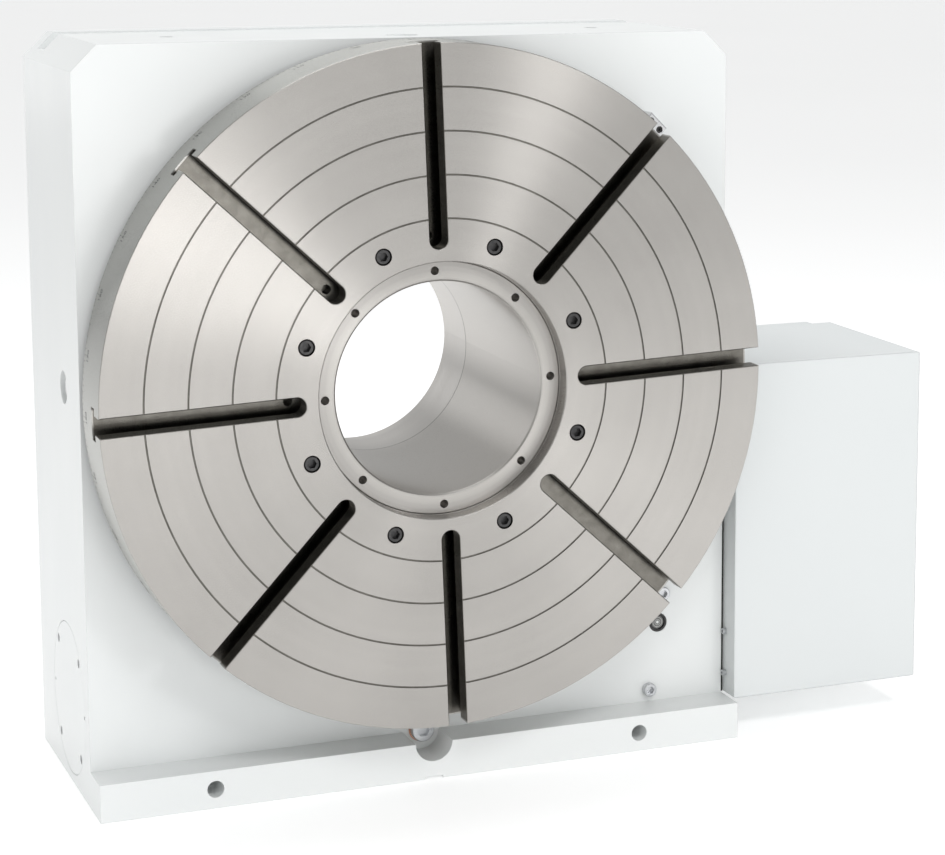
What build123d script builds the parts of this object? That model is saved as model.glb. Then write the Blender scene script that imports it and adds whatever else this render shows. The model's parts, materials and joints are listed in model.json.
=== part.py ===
from build123d import *
import math
import os

# Heavy-duty rotary table with a vertical faceplate, a through bore and a worm drive.
# Millimetres, +Z up. X runs along the worm, the faceplate looks towards -Y.
# The origin is on the base face, straight below the spindle axis, in the worm's plane.

# ---- Faceplate --------------------------------------------------------------
TABLE_DIAMETER = 800.0
PLATE_THICKNESS = 85.0
PLATE_GAP = 15.0             # between the faceplate's back and the housing
PARK_ANGLE = 1.9             # degrees that the table stands past its zero mark
SLOT_COUNT = 8
SLOT_WIDTH = 22.0
SLOT_FOOT_WIDTH = 38.0
SLOT_NECK_DEPTH = 23.0
SLOT_FOOT_DEPTH = 16.0
SLOT_END_MARGIN = 26.0       # from the centring recess to the centre of the slot's round end
SLOT_DRAIN_RADIUS = 5.5
SLOT_EDGE_CHAMFER = 1.0
RING_PITCH = 50.0            # spacing of the turned centring rings
RING_GROOVE_WIDTH = 1.4
RING_GROOVE_DEPTH = 0.8
RECESS_DIAMETER = 300.0      # centring recess in the middle of the face
RECESS_DEPTH = 20.0
RECESS_CHAMFER = 1.2
RIM_CHAMFER = 0.8
PLATE_SCREW = 12.0
PLATE_SCREW_ENGAGEMENT = 25.0

# ---- Spindle, radii built outwards from the bore ---------------------------
BORE_DIAMETER = 250.0
SPINDLE_WALL = 24.0
SPINDLE_FLANGE_STEP = 50.0   # flange radius beyond the journal
SPINDLE_FLANGE_THICKNESS = 40.0
PLATE_SCREW_STEP = 25.0      # faceplate screw circle beyond the recess radius
FACE_TAP_SIZE = 10.0         # tapped holes in the spindle's nose
FACE_TAP_COUNT = 8
FACE_TAP_DEPTH = 25.0
FACE_TAP_CIRCLE_STEP = 12.5  # tapped hole circle beyond the bore radius
BORE_CHAMFER = 2.0
NOSE_CHAMFER = 1.5
PILOT_STEP = 0.7             # the nose pilot is this much smaller in radius than the recess
SLEEVE_BORE_STEP = 2.0       # the rear sleeve's bore is this much wider in radius
SLEEVE_FLANGE_STEP = 35.0
SLEEVE_FLANGE_THICKNESS = 18.0
SLEEVE_OVERHANG = 5.0        # stands out past the rear cover

# ---- Main bearing ----------------------------------------------------------
BEARING_WIDTH = 50.0
INNER_RING_WALL = 28.0
RING_SPACE = 7.0             # radial space between the two rings
OUTER_RING_WALL = 60.0
ROLLER_SIZE = 14.0
ROLLER_COUNT = 48
ROLLER_PLAY = 0.3
CAGE_WALL = 4.0
CAGE_WIDTH = 26.0

# ---- Worm gearing ----------------------------------------------------------
GEAR_MODULE = 5.5
WHEEL_TEETH = 120
WHEEL_WIDTH = 50.0
WHEEL_WEB_WIDTH = 30.0
WHEEL_RIM_WALL = 34.0
WHEEL_HUB_WALL = 28.0
WORM_RADIUS = 48.0
WORM_TURNS = 5
WORM_FACETS = 20             # steps per turn of the worm's faceted thread
FLANK_PLAY = 0.3             # taken off each flank of worm and wheel
WORM_HEIGHT = 102.0          # worm axis above the base face
CHAMBER_CLEARANCE = 9.5      # around the wheel's teeth
WORM_BORE_CLEARANCE = 2.5    # around the worm's thread

# ---- Housing ---------------------------------------------------------------
SIDE_WALL = 55.0             # thinnest wall beside the wheel chamber
TOP_WALL = 55.0
FRONT_DEPTH = 110.0          # worm plane to the housing's front face
REAR_DEPTH = 170.0           # worm plane to the housing's rear face
CORNER_CHAMFER = 30.0
FOOT_HEIGHT = 45.0
FOOT_REACH = 50.0
FOOT_TAP_SIZE = 20.0
FOOT_TAP_SPACING = 532.0
FOOT_TAP_HEIGHT = 23.0
FOOT_TAP_DEPTH = 40.0
KEYWAY_WIDTH = 22.0
KEYWAY_DEPTH = 3.0
KEYWAY_LENGTH = 60.0
NOTCH_RADIUS = 23.0          # half-round tool access in the foot
LIFT_TAP_SIZE = 24.0
LIFT_TAP_Y = -64.0
LIFT_TAP_DEPTH = 48.0
LIFT_SPOT_RADIUS = 19.0
LIFT_SPOT_DEPTH = 3.0
TOP_TAP_SIZE = 16.0
TOP_TAP_SPACING = 532.0
TOP_TAP_Y = -2.0
TOP_TAP_DEPTH = 35.0
TOP_GROOVE_FRONT = 98.0
TOP_GROOVE_WIDTH = 36.0
TOP_GROOVE_DEPTH = 19.0
SEAL_SPACE = 15.0            # radial room for the seals on the spindle

# ---- Brake and rear end ----------------------------------------------------
CHAMBER_REAR = 57.0
SPINDLE_SETBACK = 12.0       # the spindle ends this far before the brake disc's back
CHAMBER_FRONT = 40.0
REAR_BORE_STEP = 20.0        # ledge that carries the brake ring
BRAKE_RING_THICKNESS = 19.5
BRAKE_GAP = 0.5
BRAKE_TRAVEL_ROOM = 0.5
BRAKE_DISC_THICKNESS = 5.0
BRAKE_DISC_RADIUS = 290.0
PISTON_INNER_RADIUS = 212.0
PISTON_OUTER_RADIUS = 278.0
PISTON_THICKNESS = 24.0
CYLINDER_DEPTH = 46.0
REAR_COVER_THICKNESS = 15.0
REAR_COVER_INSET = 15.0
REAR_COVER_STEP = 15.0       # ledge that carries the rear cover
OIL_SEAL_SECTION = 4.0
PISTON_PLAY = 0.1
BRAKE_RING_INNER = 205.0
CYLINDER_INNER = 195.0
CYLINDER_FLOOR = 12.5        # back wall of the brake cylinder

# ---- Drive -----------------------------------------------------------------
DRIVE_MODULE = 3.0
DRIVEN_TEETH = 28
PINION_TEETH = 21
DRIVE_GEAR_WIDTH = 26.0
DRIVE_BACKLASH = 0.12        # taken off each flank of the drive gears
GEAR_POCKET_DEPTH = 50.0
GEAR_POCKET_CLEARANCE = 3.0
WORM_JOURNAL_RADIUS = 30.0
WORM_BEARING_WIDTH = 32.0
WORM_BEARING_SHOULDER = 4.0  # the cups rest against this step in the worm bore
WORM_BEARING_ROLLERS = 18
WORM_BEARING_ROLLER = 5.0    # roller radius
WORM_BEARING_TILT = 12.0     # degrees
OIL_SPACE = 80.0             # between the gear pocket and the worm bearing
LOCKNUT_WIDTH = 14.0
WORM_COVER_RADIUS = 91.0
WORM_COVER_THICKNESS = 25.0
WORM_COVER_SCREW_RADIUS = 82.0
SEAM = 0.4                   # visible joint round the worm end cover
DRIVE_PLATE_THICKNESS = 20.0
DRIVE_PLATE_HALF_WIDTH = 80.0
DRIVE_PLATE_TOP_MARGIN = 110.0
MOTOR_SIZE = 174.0
MOTOR_BODY_SIZE = 146.0
MOTOR_LENGTH = 175.0
MOTOR_FLANGE_THICKNESS = 16.0
MOTOR_CAP_LENGTH = 38.0
MOTOR_SPIGOT_RADIUS = 57.15
MOTOR_SHAFT_RADIUS = 17.5
MOTOR_ROTOR_RADIUS = 46.0
MOTOR_SCREW_SPACING = 141.4
MOTOR_FINS = 5
MOTOR_FIN_PITCH = 16.0
GEAR_SEAT_RADIUS = 20.0

# ---- Motor cover -----------------------------------------------------------
COVER_GAP = 3.0
COVER_SHEET = 3.0
COVER_WIDTH = 257.0
COVER_BOTTOM = 45.0
COVER_HEIGHT = 425.0
COVER_FRONT = 142.0          # worm plane to the cover's front
COVER_SPLIT = 100.0          # where the front shell meets the rear box
COVER_REAR = 155.0
COVER_STEP = 7.5             # the rear box is this much smaller all round
COVER_LIP = 38.0             # width of the left wall's rim
COVER_EDGE_RADIUS = 2.5
COVER_OVERLAP = 15.0         # how far the rear box reaches into the front shell
GASKET_WIDTH = 8.0
SEAL_INSET = 2.0
SEAL_WIDTH = 8.0
BRACKET_FOOT = 18.0
BRACKET_SCREW_HEIGHT = 72.0
BRACKET_SCREW_SPACING = 54.0
SOCKET_RADIUS = 12.0
INLET_RADIUS = 7.0

# ---- Fits ------------------------------------------------------------------
FIT = 0.05                   # radial clearance of parts that slide together
LOOSE = 0.3                  # radial clearance between turning and fixed faces
THREAD_PLAY = 0.1            # between a screw and its modelled hole

# ---- Fittings on the housing ------------------------------------------------
FRONT_PORT_HEIGHT = 47.5
FRONT_PORT_RADIUS = 14.0
FRONT_PORT_THREAD = 10.0
FRONT_PORT_WASHER = 1.5
PLUG_RADIUS = 8.5            # drain and filler plugs
PLUG_THREAD = 6.0
PLUG_HEAD = 7.0
DRAIN_INSET = 100.0          # from the housing's right side
DRAIN_DROP = 41.5            # below the worm axis
SIGHT_INSET = 87.5
SIGHT_RISE = 43.0
SIGHT_RADIUS = 12.0
SIGHT_DEPTH = 7.0
FILLER_INSET = 82.3
FILLER_RISE = 80.5
OIL_HOLE = 4.0
SIDE_PORT_Y = -20.0
SIDE_POCKET_RADIUS = 19.5
SIDE_POCKET_DEPTH = 12.0
SIDE_PLUG_RADIUS = 11.0
INDEX_HALF_WIDTH = 14.0
INDEX_GAP = 3.0              # between the index block and the faceplate's rim
INDEX_LINE = 0.8
INDEX_LINE_DEPTH = 0.6
INDEX_HEIGHT = 16.0
INDEX_REACH = 35.0
SENSOR_Y = 35.0
SENSOR_DROP = 60.0           # below the spindle axis
SENSOR_RADIUS = 6.0
SENSOR_TIP = 269.0
VALVE_HEIGHT = 370.0
VALVE_Y = 40.0
VALVE_SIZE = 60.0
GALLERY_INSET = 20.0
GALLERY_RADIUS = 4.0
JACK_HOLE = 2.5              # threaded holes that push the worm end cover off

# ---- Screws ----------------------------------------------------------------
FLANGE_SCREW = 10.0
FLANGE_SCREW_ENGAGEMENT = 17.0
BEARING_SCREW = 10.0
BEARING_SCREW_COUNT = 12
BEARING_SCREW_ENGAGEMENT = 18.0
SLEEVE_SCREW = 8.0
SLEEVE_SCREW_COUNT = 8
SLEEVE_SCREW_ENGAGEMENT = 18.0
DISC_SCREW = 8.0
DISC_SCREW_COUNT = 12
DISC_SCREW_ENGAGEMENT = 12.0
LEDGE_SCREW = 8.0
LEDGE_SCREW_COUNT = 12
LEDGE_SCREW_ENGAGEMENT = 15.0
COVER_SCREW = 6.0
COVER_SCREW_COUNT = 16
COVER_SCREW_ENGAGEMENT = 12.0
DRIVE_SCREW = 10.0           # drive plate to the housing
DRIVE_SCREW_ENGAGEMENT = 20.0
MOTOR_SCREW = 12.0
MOTOR_SCREW_ENGAGEMENT = 16.0
WORM_COVER_SCREW = 6.0
FITTING_SCREW = 5.0
FITTING_SCREW_ENGAGEMENT = 10.0
SHEET_SCREW = 5.0
DOG_SCREW = 5.0
DOG_RADIUS = 262.0
DOG_LENGTH = 28.0
DOG_WIDTH = 12.0
DOG_HEIGHT = 24.0

# ---- Derived places --------------------------------------------------------
table_radius = TABLE_DIAMETER / 2
plate_back = -(FRONT_DEPTH + PLATE_GAP)
plate_front = plate_back - PLATE_THICKNESS
nose_face = plate_front + RECESS_DEPTH

bore_radius = BORE_DIAMETER / 2
journal_radius = bore_radius + SPINDLE_WALL
recess_radius = RECESS_DIAMETER / 2
flange_radius = journal_radius + SPINDLE_FLANGE_STEP
plate_screw_circle = recess_radius + PLATE_SCREW_STEP
face_tap_circle = bore_radius + FACE_TAP_CIRCLE_STEP
flange_back = plate_back + SPINDLE_FLANGE_THICKNESS
flange_screw_circle = journal_radius + 12.0

bearing_back = flange_back + BEARING_WIDTH
bearing_middle = flange_back + BEARING_WIDTH / 2
inner_race = journal_radius + INNER_RING_WALL
outer_race = inner_race + RING_SPACE
roller_circle = (inner_race + outer_race) / 2
bearing_seat = outer_race + OUTER_RING_WALL
bearing_screw_circle = bearing_seat - 15.0
front_opening = flange_radius + SEAL_SPACE

wheel_pitch_radius = GEAR_MODULE * WHEEL_TEETH / 2
wheel_tip_radius = wheel_pitch_radius + GEAR_MODULE
wheel_root_radius = wheel_pitch_radius - 1.25 * GEAR_MODULE
worm_tip_radius = WORM_RADIUS + GEAR_MODULE
worm_root_radius = WORM_RADIUS - 1.25 * GEAR_MODULE
worm_lead = math.pi * GEAR_MODULE
worm_lead_angle = math.atan(worm_lead / (2 * math.pi * WORM_RADIUS))
axis_height = WORM_HEIGHT + wheel_pitch_radius + WORM_RADIUS
chamber_radius = wheel_tip_radius + CHAMBER_CLEARANCE
worm_bore = worm_tip_radius + WORM_BORE_CLEARANCE
bearing_bore = worm_bore + WORM_BEARING_SHOULDER

half_width = chamber_radius + SIDE_WALL
body_top = axis_height + chamber_radius + TOP_WALL
rear_bore = chamber_radius + REAR_BORE_STEP
rear_ledge = rear_bore + REAR_COVER_STEP
ledge_screw_circle = (chamber_radius + rear_bore) / 2
cover_screw_circle = (rear_bore + rear_ledge) / 2

brake_ring_back = CHAMBER_REAR + BRAKE_RING_THICKNESS
disc_front = brake_ring_back + BRAKE_GAP
disc_back = disc_front + BRAKE_DISC_THICKNESS
spindle_rear = disc_back - SPINDLE_SETBACK
piston_front = disc_back + BRAKE_TRAVEL_ROOM
piston_back = piston_front + PISTON_THICKNESS
cylinder_back = brake_ring_back + CYLINDER_DEPTH
rear_cover_back = REAR_DEPTH - REAR_COVER_INSET
rear_cover_front = rear_cover_back - REAR_COVER_THICKNESS
sleeve_end = rear_cover_back + SLEEVE_OVERHANG
sleeve_flange_radius = journal_radius + SLEEVE_FLANGE_STEP
disc_screw_circle = journal_radius + SLEEVE_FLANGE_STEP / 2
sleeve_bore = bore_radius + SLEEVE_BORE_STEP
sleeve_screw_circle = (bore_radius + journal_radius) / 2 + 1.0

flange_screw_seat = plate_back + FLANGE_SCREW + 1.0
bearing_screw_seat = bearing_back - BEARING_SCREW - 2.0
wheel_screw_seat = WHEEL_WIDTH / 2 - FLANGE_SCREW - 1.0
sleeve_screw_seat = sleeve_end - SLEEVE_SCREW - 1.0
pilot_radius = recess_radius - PILOT_STEP
ledge_screw_seat = cylinder_back - LEDGE_SCREW - 1.0
cover_screw_seat = rear_cover_back - COVER_SCREW - 1.0
groove_floor = cylinder_back - CYLINDER_FLOOR
port_depth = cylinder_back - CYLINDER_FLOOR / 2
fitting_screw_length = INDEX_REACH - FITTING_SCREW - 1.0 + FITTING_SCREW_ENGAGEMENT

drive_distance = DRIVE_MODULE * (DRIVEN_TEETH + PINION_TEETH) / 2
motor_height = WORM_HEIGHT + drive_distance
pocket_floor = half_width - GEAR_POCKET_DEPTH
gear_start = pocket_floor + 12.0
plate_outer = half_width + DRIVE_PLATE_THICKNESS
driven_pocket = DRIVE_MODULE * (DRIVEN_TEETH + 2) / 2 + GEAR_POCKET_CLEARANCE
pinion_pocket = DRIVE_MODULE * (PINION_TEETH + 2) / 2 + GEAR_POCKET_CLEARANCE
worm_turn = -PARK_ANGLE * WHEEL_TEETH
race_middle = WORM_JOURNAL_RADIUS + (bearing_bore - WORM_JOURNAL_RADIUS) / 2 - 0.5
drive_screw_seat = plate_outer - DRIVE_SCREW - 1.0
bearing_far = pocket_floor - OIL_SPACE
bearing_near = bearing_far - WORM_BEARING_WIDTH
plate_bottom = COVER_BOTTOM + COVER_SHEET + 1.0
plate_top = motor_height + DRIVE_PLATE_TOP_MARGIN
cover_left = half_width + COVER_GAP
cover_right = cover_left + COVER_WIDTH
cover_top = COVER_BOTTOM + COVER_HEIGHT
rear_box_front = COVER_SPLIT - COVER_OVERLAP
sensor_height = axis_height - SENSOR_DROP

os.makedirs("parts", exist_ok=True)


# ---- Helpers ---------------------------------------------------------------
def rod_y(radius, y0, y1, x=0.0, z=None):
    """Cylinder along Y; z defaults to the spindle axis."""
    height = axis_height if z is None else z
    return Pos(x, (y0 + y1) / 2, height) * Rot(90, 0, 0) * Cylinder(radius, y1 - y0)


def ring_y(inner, outer, y0, y1):
    """Ring about the spindle axis."""
    return rod_y(outer, y0, y1) - rod_y(inner, y0 - 1, y1 + 1)


def rod_x(radius, x0, x1, y=0.0, z=None):
    """Cylinder along X; z defaults to the worm axis."""
    height = WORM_HEIGHT if z is None else z
    return Pos((x0 + x1) / 2, y, height) * Rot(0, 90, 0) * Cylinder(radius, x1 - x0)


def ring_x(inner, outer, x0, x1, y=0.0, z=None):
    return rod_x(outer, x0, x1, y, z) - rod_x(inner, x0 - 1, x1 + 1, y, z)


def rod_z(radius, z0, z1, x=0.0, y=0.0):
    return Pos(x, y, (z0 + z1) / 2) * Cylinder(radius, z1 - z0)


def block(x0, x1, y0, y1, z0, z1):
    return Pos((x0 + x1) / 2, (y0 + y1) / 2, (z0 + z1) / 2) * Box(x1 - x0, y1 - y0, z1 - z0)


def hexagon_prism(across_flats, height):
    """Hexagonal prism standing on the XY plane."""
    return extrude(RegularPolygon(across_flats / 2, 6, major_radius=False), height)


def cap_screw(size, length):
    """Hexagon socket head cap screw: head on +Z, the head's seat at the origin."""
    head = Cylinder(size * 0.75, size, align=(Align.CENTER, Align.CENTER, Align.MIN))
    head = chamfer(head.edges().filter_by(GeomType.CIRCLE).sort_by(Axis.Z)[-1], size * 0.08)
    shank = Pos(0, 0, -length) * Cylinder(size / 2, length, align=(Align.CENTER, Align.CENTER, Align.MIN))
    socket = Pos(0, 0, size * 0.45) * hexagon_prism(size * 0.8, size)
    return head + shank - socket


def facing_front(x, y, z):
    """Place whose local +Z looks towards -Y."""
    return Pos(x, y, z) * Rot(90, 0, 0)


def facing_rear(x, y, z):
    return Pos(x, y, z) * Rot(-90, 0, 0)


def facing_left(x, y, z):
    return Pos(x, y, z) * Rot(0, -90, 0)


def facing_right(x, y, z):
    return Pos(x, y, z) * Rot(0, 90, 0)


def around_spindle(count, radius, first=0.0):
    """Points on a circle about the spindle axis, as (x, z)."""
    angles = [math.radians(first + 360.0 * k / count) for k in range(count)]
    return [(radius * math.cos(a), axis_height + radius * math.sin(a)) for a in angles]


def spur_outline(teeth, module, thinning, flank_steps):
    """Points of an involute gear's outline, pressure angle 20 degrees."""
    pitch = module * teeth / 2
    base = pitch * math.cos(math.radians(20))
    tip = pitch + module
    root = pitch - 1.25 * module
    start = max(base, root)
    involute = lambda r: math.tan(math.acos(base / r)) - math.acos(base / r)
    half = math.pi / (2 * teeth) - thinning / pitch + involute(pitch)
    radii = [start + (tip - start) * k / flank_steps for k in range(flank_steps + 1)]
    points = []
    for tooth in range(teeth):
        middle = 2 * math.pi * tooth / teeth
        flank = [(r, half - involute(r)) for r in radii]
        flank = [(root, half - involute(start))] + flank if root < start - 0.01 else flank
        for r, offset in flank:
            points.append((r * math.cos(middle - offset), r * math.sin(middle - offset)))
        for r, offset in reversed(flank):
            points.append((r * math.cos(middle + offset), r * math.sin(middle + offset)))
    return points


def twisted_prism(outline, length, twist, layers):
    """Solid of flat facets: an outline in XY carried up Z while it turns by twist degrees."""
    count = len(outline)
    levels = []
    for k in range(layers + 1):
        angle = math.radians(twist * k / layers)
        cos, sin = math.cos(angle), math.sin(angle)
        z = length * k / layers
        levels.append([Vector(x * cos - y * sin, x * sin + y * cos, z) for x, y in outline])
    faces = [
        Face(Wire.make_polygon(levels[0], close=True)),
        Face(Wire.make_polygon(levels[-1], close=True)),
    ]
    for low, high in zip(levels, levels[1:]):
        for i in range(count):
            j = (i + 1) % count
            faces.append(Face(Wire.make_polygon([low[i], low[j], high[j]], close=True)))
            faces.append(Face(Wire.make_polygon([low[i], high[j], high[i]], close=True)))
    return Solid(Shell(faces))


def save(name, shapes):
    """Writes one node; a list becomes a group of separate solids."""
    shape = Compound(children=[s for s in shapes]) if isinstance(shapes, list) else shapes
    export_step(shape, f"parts/{name}.step")
    print(name, flush=True)


def turned(shape):
    """Turns a piece of the table about the spindle axis to the parked position."""
    axis = Axis((0, 0, axis_height), (0, -1, 0))
    return shape.rotate(axis, PARK_ANGLE)


# ---- Turning table ---------------------------------------------------------
def make_slot():
    """Cutter for one T-slot along +X, open at the rim."""
    start = recess_radius + SLOT_END_MARGIN
    end = table_radius + 5.0
    neck = SLOT_WIDTH / 2
    foot = SLOT_FOOT_WIDTH / 2
    neck_floor = plate_front + SLOT_NECK_DEPTH
    floor = neck_floor + SLOT_FOOT_DEPTH
    cutter = block(start, end, plate_front - 1, neck_floor + 1, axis_height - neck, axis_height + neck)
    cutter += rod_y(neck, plate_front - 1, neck_floor + 1, start)
    cutter += block(start, end, neck_floor, floor, axis_height - foot, axis_height + foot)
    cutter += rod_y(foot, neck_floor, floor, start)
    cutter += rod_y(SLOT_DRAIN_RADIUS, floor - 1, floor + 20.0, start)
    wide = neck + 2 * SLOT_EDGE_CHAMFER
    front = plate_front - SLOT_EDGE_CHAMFER
    back = plate_front + SLOT_EDGE_CHAMFER
    mouth = Plane.XY * make_face(Polyline(
        (front, -wide), (back, -neck), (back, neck), (front, wide), close=True
    ))
    bevel = extrude(mouth, end - start)
    cutter += Pos(start, 0, axis_height) * Rot(0, 0, 90) * Rot(90, 0, 0) * bevel
    cone = Cone(neck, wide, back - front)
    cutter += Pos(start, (front + back) / 2, axis_height) * Rot(90, 0, 0) * cone
    return cutter


def make_faceplate():
    plate = rod_y(table_radius, plate_front, plate_back)
    plate -= rod_y(recess_radius, plate_front - 1, nose_face)
    plate -= rod_y(pilot_radius, plate_front - 1, plate_back + 1)
    rims = plate.edges().filter_by(GeomType.CIRCLE)
    outer = rims.filter_by(lambda e: e.radius > table_radius - 1)
    plate = chamfer(outer, RIM_CHAMFER)
    recess_edge = plate.edges().filter_by(GeomType.CIRCLE).filter_by(
        lambda e: abs(e.radius - recess_radius) < 0.01
    ).sort_by(Axis.Y)[0]
    plate = chamfer(recess_edge, RECESS_CHAMFER)
    cuts = []
    slot = make_slot()
    axis = Axis((0, 0, axis_height), (0, -1, 0))
    for k in range(SLOT_COUNT):
        cuts.append(slot.rotate(axis, 360.0 * k / SLOT_COUNT))
    ring = RING_PITCH * math.ceil((recess_radius + SLOT_END_MARGIN) / RING_PITCH)
    while ring < table_radius - RING_PITCH / 4:
        inner = ring - RING_GROOVE_WIDTH / 2
        outer = inner + RING_GROOVE_WIDTH
        cuts.append(ring_y(inner, outer, plate_front - 1, plate_front + RING_GROOVE_DEPTH))
        ring += RING_PITCH
    for x, z in around_spindle(SLOT_COUNT, plate_screw_circle, 180.0 / SLOT_COUNT):
        seat = plate_front + PLATE_SCREW + 1.0
        cuts.append(rod_y(PLATE_SCREW * 0.75 + 1.0, plate_front - 1, seat, x, z))
        cuts.append(rod_y(PLATE_SCREW / 2 + 0.5, plate_front, plate_back + 1, x, z))
    return turned(plate - cuts)


def make_faceplate_screws():
    seat = plate_front + PLATE_SCREW + 1.0
    length = plate_back + PLATE_SCREW_ENGAGEMENT - seat
    screw = cap_screw(PLATE_SCREW, length)
    spots = around_spindle(SLOT_COUNT, plate_screw_circle, 180.0 / SLOT_COUNT)
    return [turned(facing_front(x, seat, z) * screw) for x, z in spots]


def make_spindle():
    body = rod_y(pilot_radius - FIT, nose_face, plate_back)
    body += rod_y(flange_radius, plate_back, flange_back)
    body += rod_y(journal_radius - FIT, flange_back, spindle_rear)
    body -= rod_y(bore_radius, nose_face - 1, spindle_rear + 1)
    bore_edge = body.edges().filter_by(GeomType.CIRCLE).filter_by(
        lambda e: abs(e.radius - bore_radius) < 0.01
    ).sort_by(Axis.Y)[0]
    body = chamfer(bore_edge, BORE_CHAMFER)
    nose_edge = body.edges().filter_by(GeomType.CIRCLE).filter_by(
        lambda e: abs(e.radius - pilot_radius) < LOOSE
    ).sort_by(Axis.Y)[0]
    body = chamfer(nose_edge, NOSE_CHAMFER)
    cuts = []
    for x, z in around_spindle(FACE_TAP_COUNT, face_tap_circle):
        cuts.append(rod_y(FACE_TAP_SIZE / 2, nose_face - 1, nose_face + FACE_TAP_DEPTH, x, z))
    for x, z in around_spindle(SLOT_COUNT, plate_screw_circle, 180.0 / SLOT_COUNT):
        deep = plate_back + PLATE_SCREW_ENGAGEMENT + 3.0
        cuts.append(rod_y(PLATE_SCREW / 2 + THREAD_PLAY, plate_back - 1, deep, x, z))
    for x, z in around_spindle(SLOT_COUNT, flange_screw_circle):
        cuts.append(rod_y(FLANGE_SCREW * 0.75 + 0.5, plate_back - 1, flange_screw_seat, x, z))
        cuts.append(rod_y(FLANGE_SCREW / 2 + THREAD_PLAY, plate_back, flange_back + 1, x, z))
    for x, z in around_spindle(SLEEVE_SCREW_COUNT, sleeve_screw_circle, 180.0 / SLEEVE_SCREW_COUNT):
        start = spindle_rear - SLEEVE_SCREW_ENGAGEMENT - 3.0
        cuts.append(rod_y(SLEEVE_SCREW / 2 + THREAD_PLAY, start, spindle_rear + 1, x, z))
    return turned(body - cuts)


def make_spindle_flange_screws():
    screw = cap_screw(FLANGE_SCREW, flange_back + FLANGE_SCREW_ENGAGEMENT - flange_screw_seat)
    spots = around_spindle(SLOT_COUNT, flange_screw_circle)
    return [turned(facing_front(x, flange_screw_seat, z) * screw) for x, z in spots]


def roller_groove():
    """Square groove on its corner, turned about the spindle axis, shared by both rings."""
    side = ROLLER_SIZE + 2 * ROLLER_PLAY
    section = Rot(0, 0, 45) * Rectangle(side, side)
    placed = Pos(roller_circle, bearing_middle, 0) * section
    solid = revolve(placed, Axis.Y, 360)
    return Pos(0, 0, axis_height) * solid


def make_inner_ring(groove):
    ring = ring_y(journal_radius, inner_race, flange_back, bearing_back) - groove
    cuts = []
    for x, z in around_spindle(SLOT_COUNT, flange_screw_circle):
        deep = flange_back + FLANGE_SCREW_ENGAGEMENT + 2.0
        cuts.append(rod_y(FLANGE_SCREW / 2 + THREAD_PLAY, flange_back - 1, deep, x, z))
    for x, z in around_spindle(SLOT_COUNT, flange_screw_circle, 180.0 / SLOT_COUNT):
        deep = bearing_back - FLANGE_SCREW_ENGAGEMENT - 2.0
        cuts.append(rod_y(FLANGE_SCREW / 2 + THREAD_PLAY, deep, bearing_back + 1, x, z))
    return turned(ring - cuts)


def make_outer_ring(groove):
    ring = ring_y(outer_race, bearing_seat - FIT, flange_back, bearing_back) - groove
    cuts = []
    for x, z in around_spindle(BEARING_SCREW_COUNT, bearing_screw_circle):
        cuts.append(rod_y(BEARING_SCREW * 0.75 + 0.5, bearing_screw_seat, bearing_back + 1, x, z))
        cuts.append(rod_y(BEARING_SCREW / 2 + THREAD_PLAY, flange_back - 1, bearing_back, x, z))
    return ring - cuts


def make_bearing_screws():
    length = bearing_screw_seat - flange_back + BEARING_SCREW_ENGAGEMENT
    screw = cap_screw(BEARING_SCREW, length)
    spots = around_spindle(BEARING_SCREW_COUNT, bearing_screw_circle)
    return [facing_rear(x, bearing_screw_seat, z) * screw for x, z in spots]


def roller_places():
    """Where each crossed roller sits: every second one leans the other way."""
    for k in range(ROLLER_COUNT):
        lean = 45 if k % 2 else -45
        turn = Pos(0, 0, axis_height) * Rot(0, 360.0 * k / ROLLER_COUNT, 0)
        yield turn * Pos(roller_circle, bearing_middle, 0) * Rot(0, 0, lean) * Rot(90, 0, 0)


def make_rollers():
    roller = Cylinder(ROLLER_SIZE / 2, ROLLER_SIZE - ROLLER_PLAY)
    return [place * roller for place in roller_places()]


def make_cage():
    inner = roller_circle - CAGE_WALL / 2
    half = CAGE_WIDTH / 2
    cage = ring_y(inner, inner + CAGE_WALL, bearing_middle - half, bearing_middle + half)
    pocket = Cylinder(ROLLER_SIZE / 2 + ROLLER_PLAY, ROLLER_SIZE + ROLLER_PLAY)
    return cage - [place * pocket for place in roller_places()]


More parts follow.
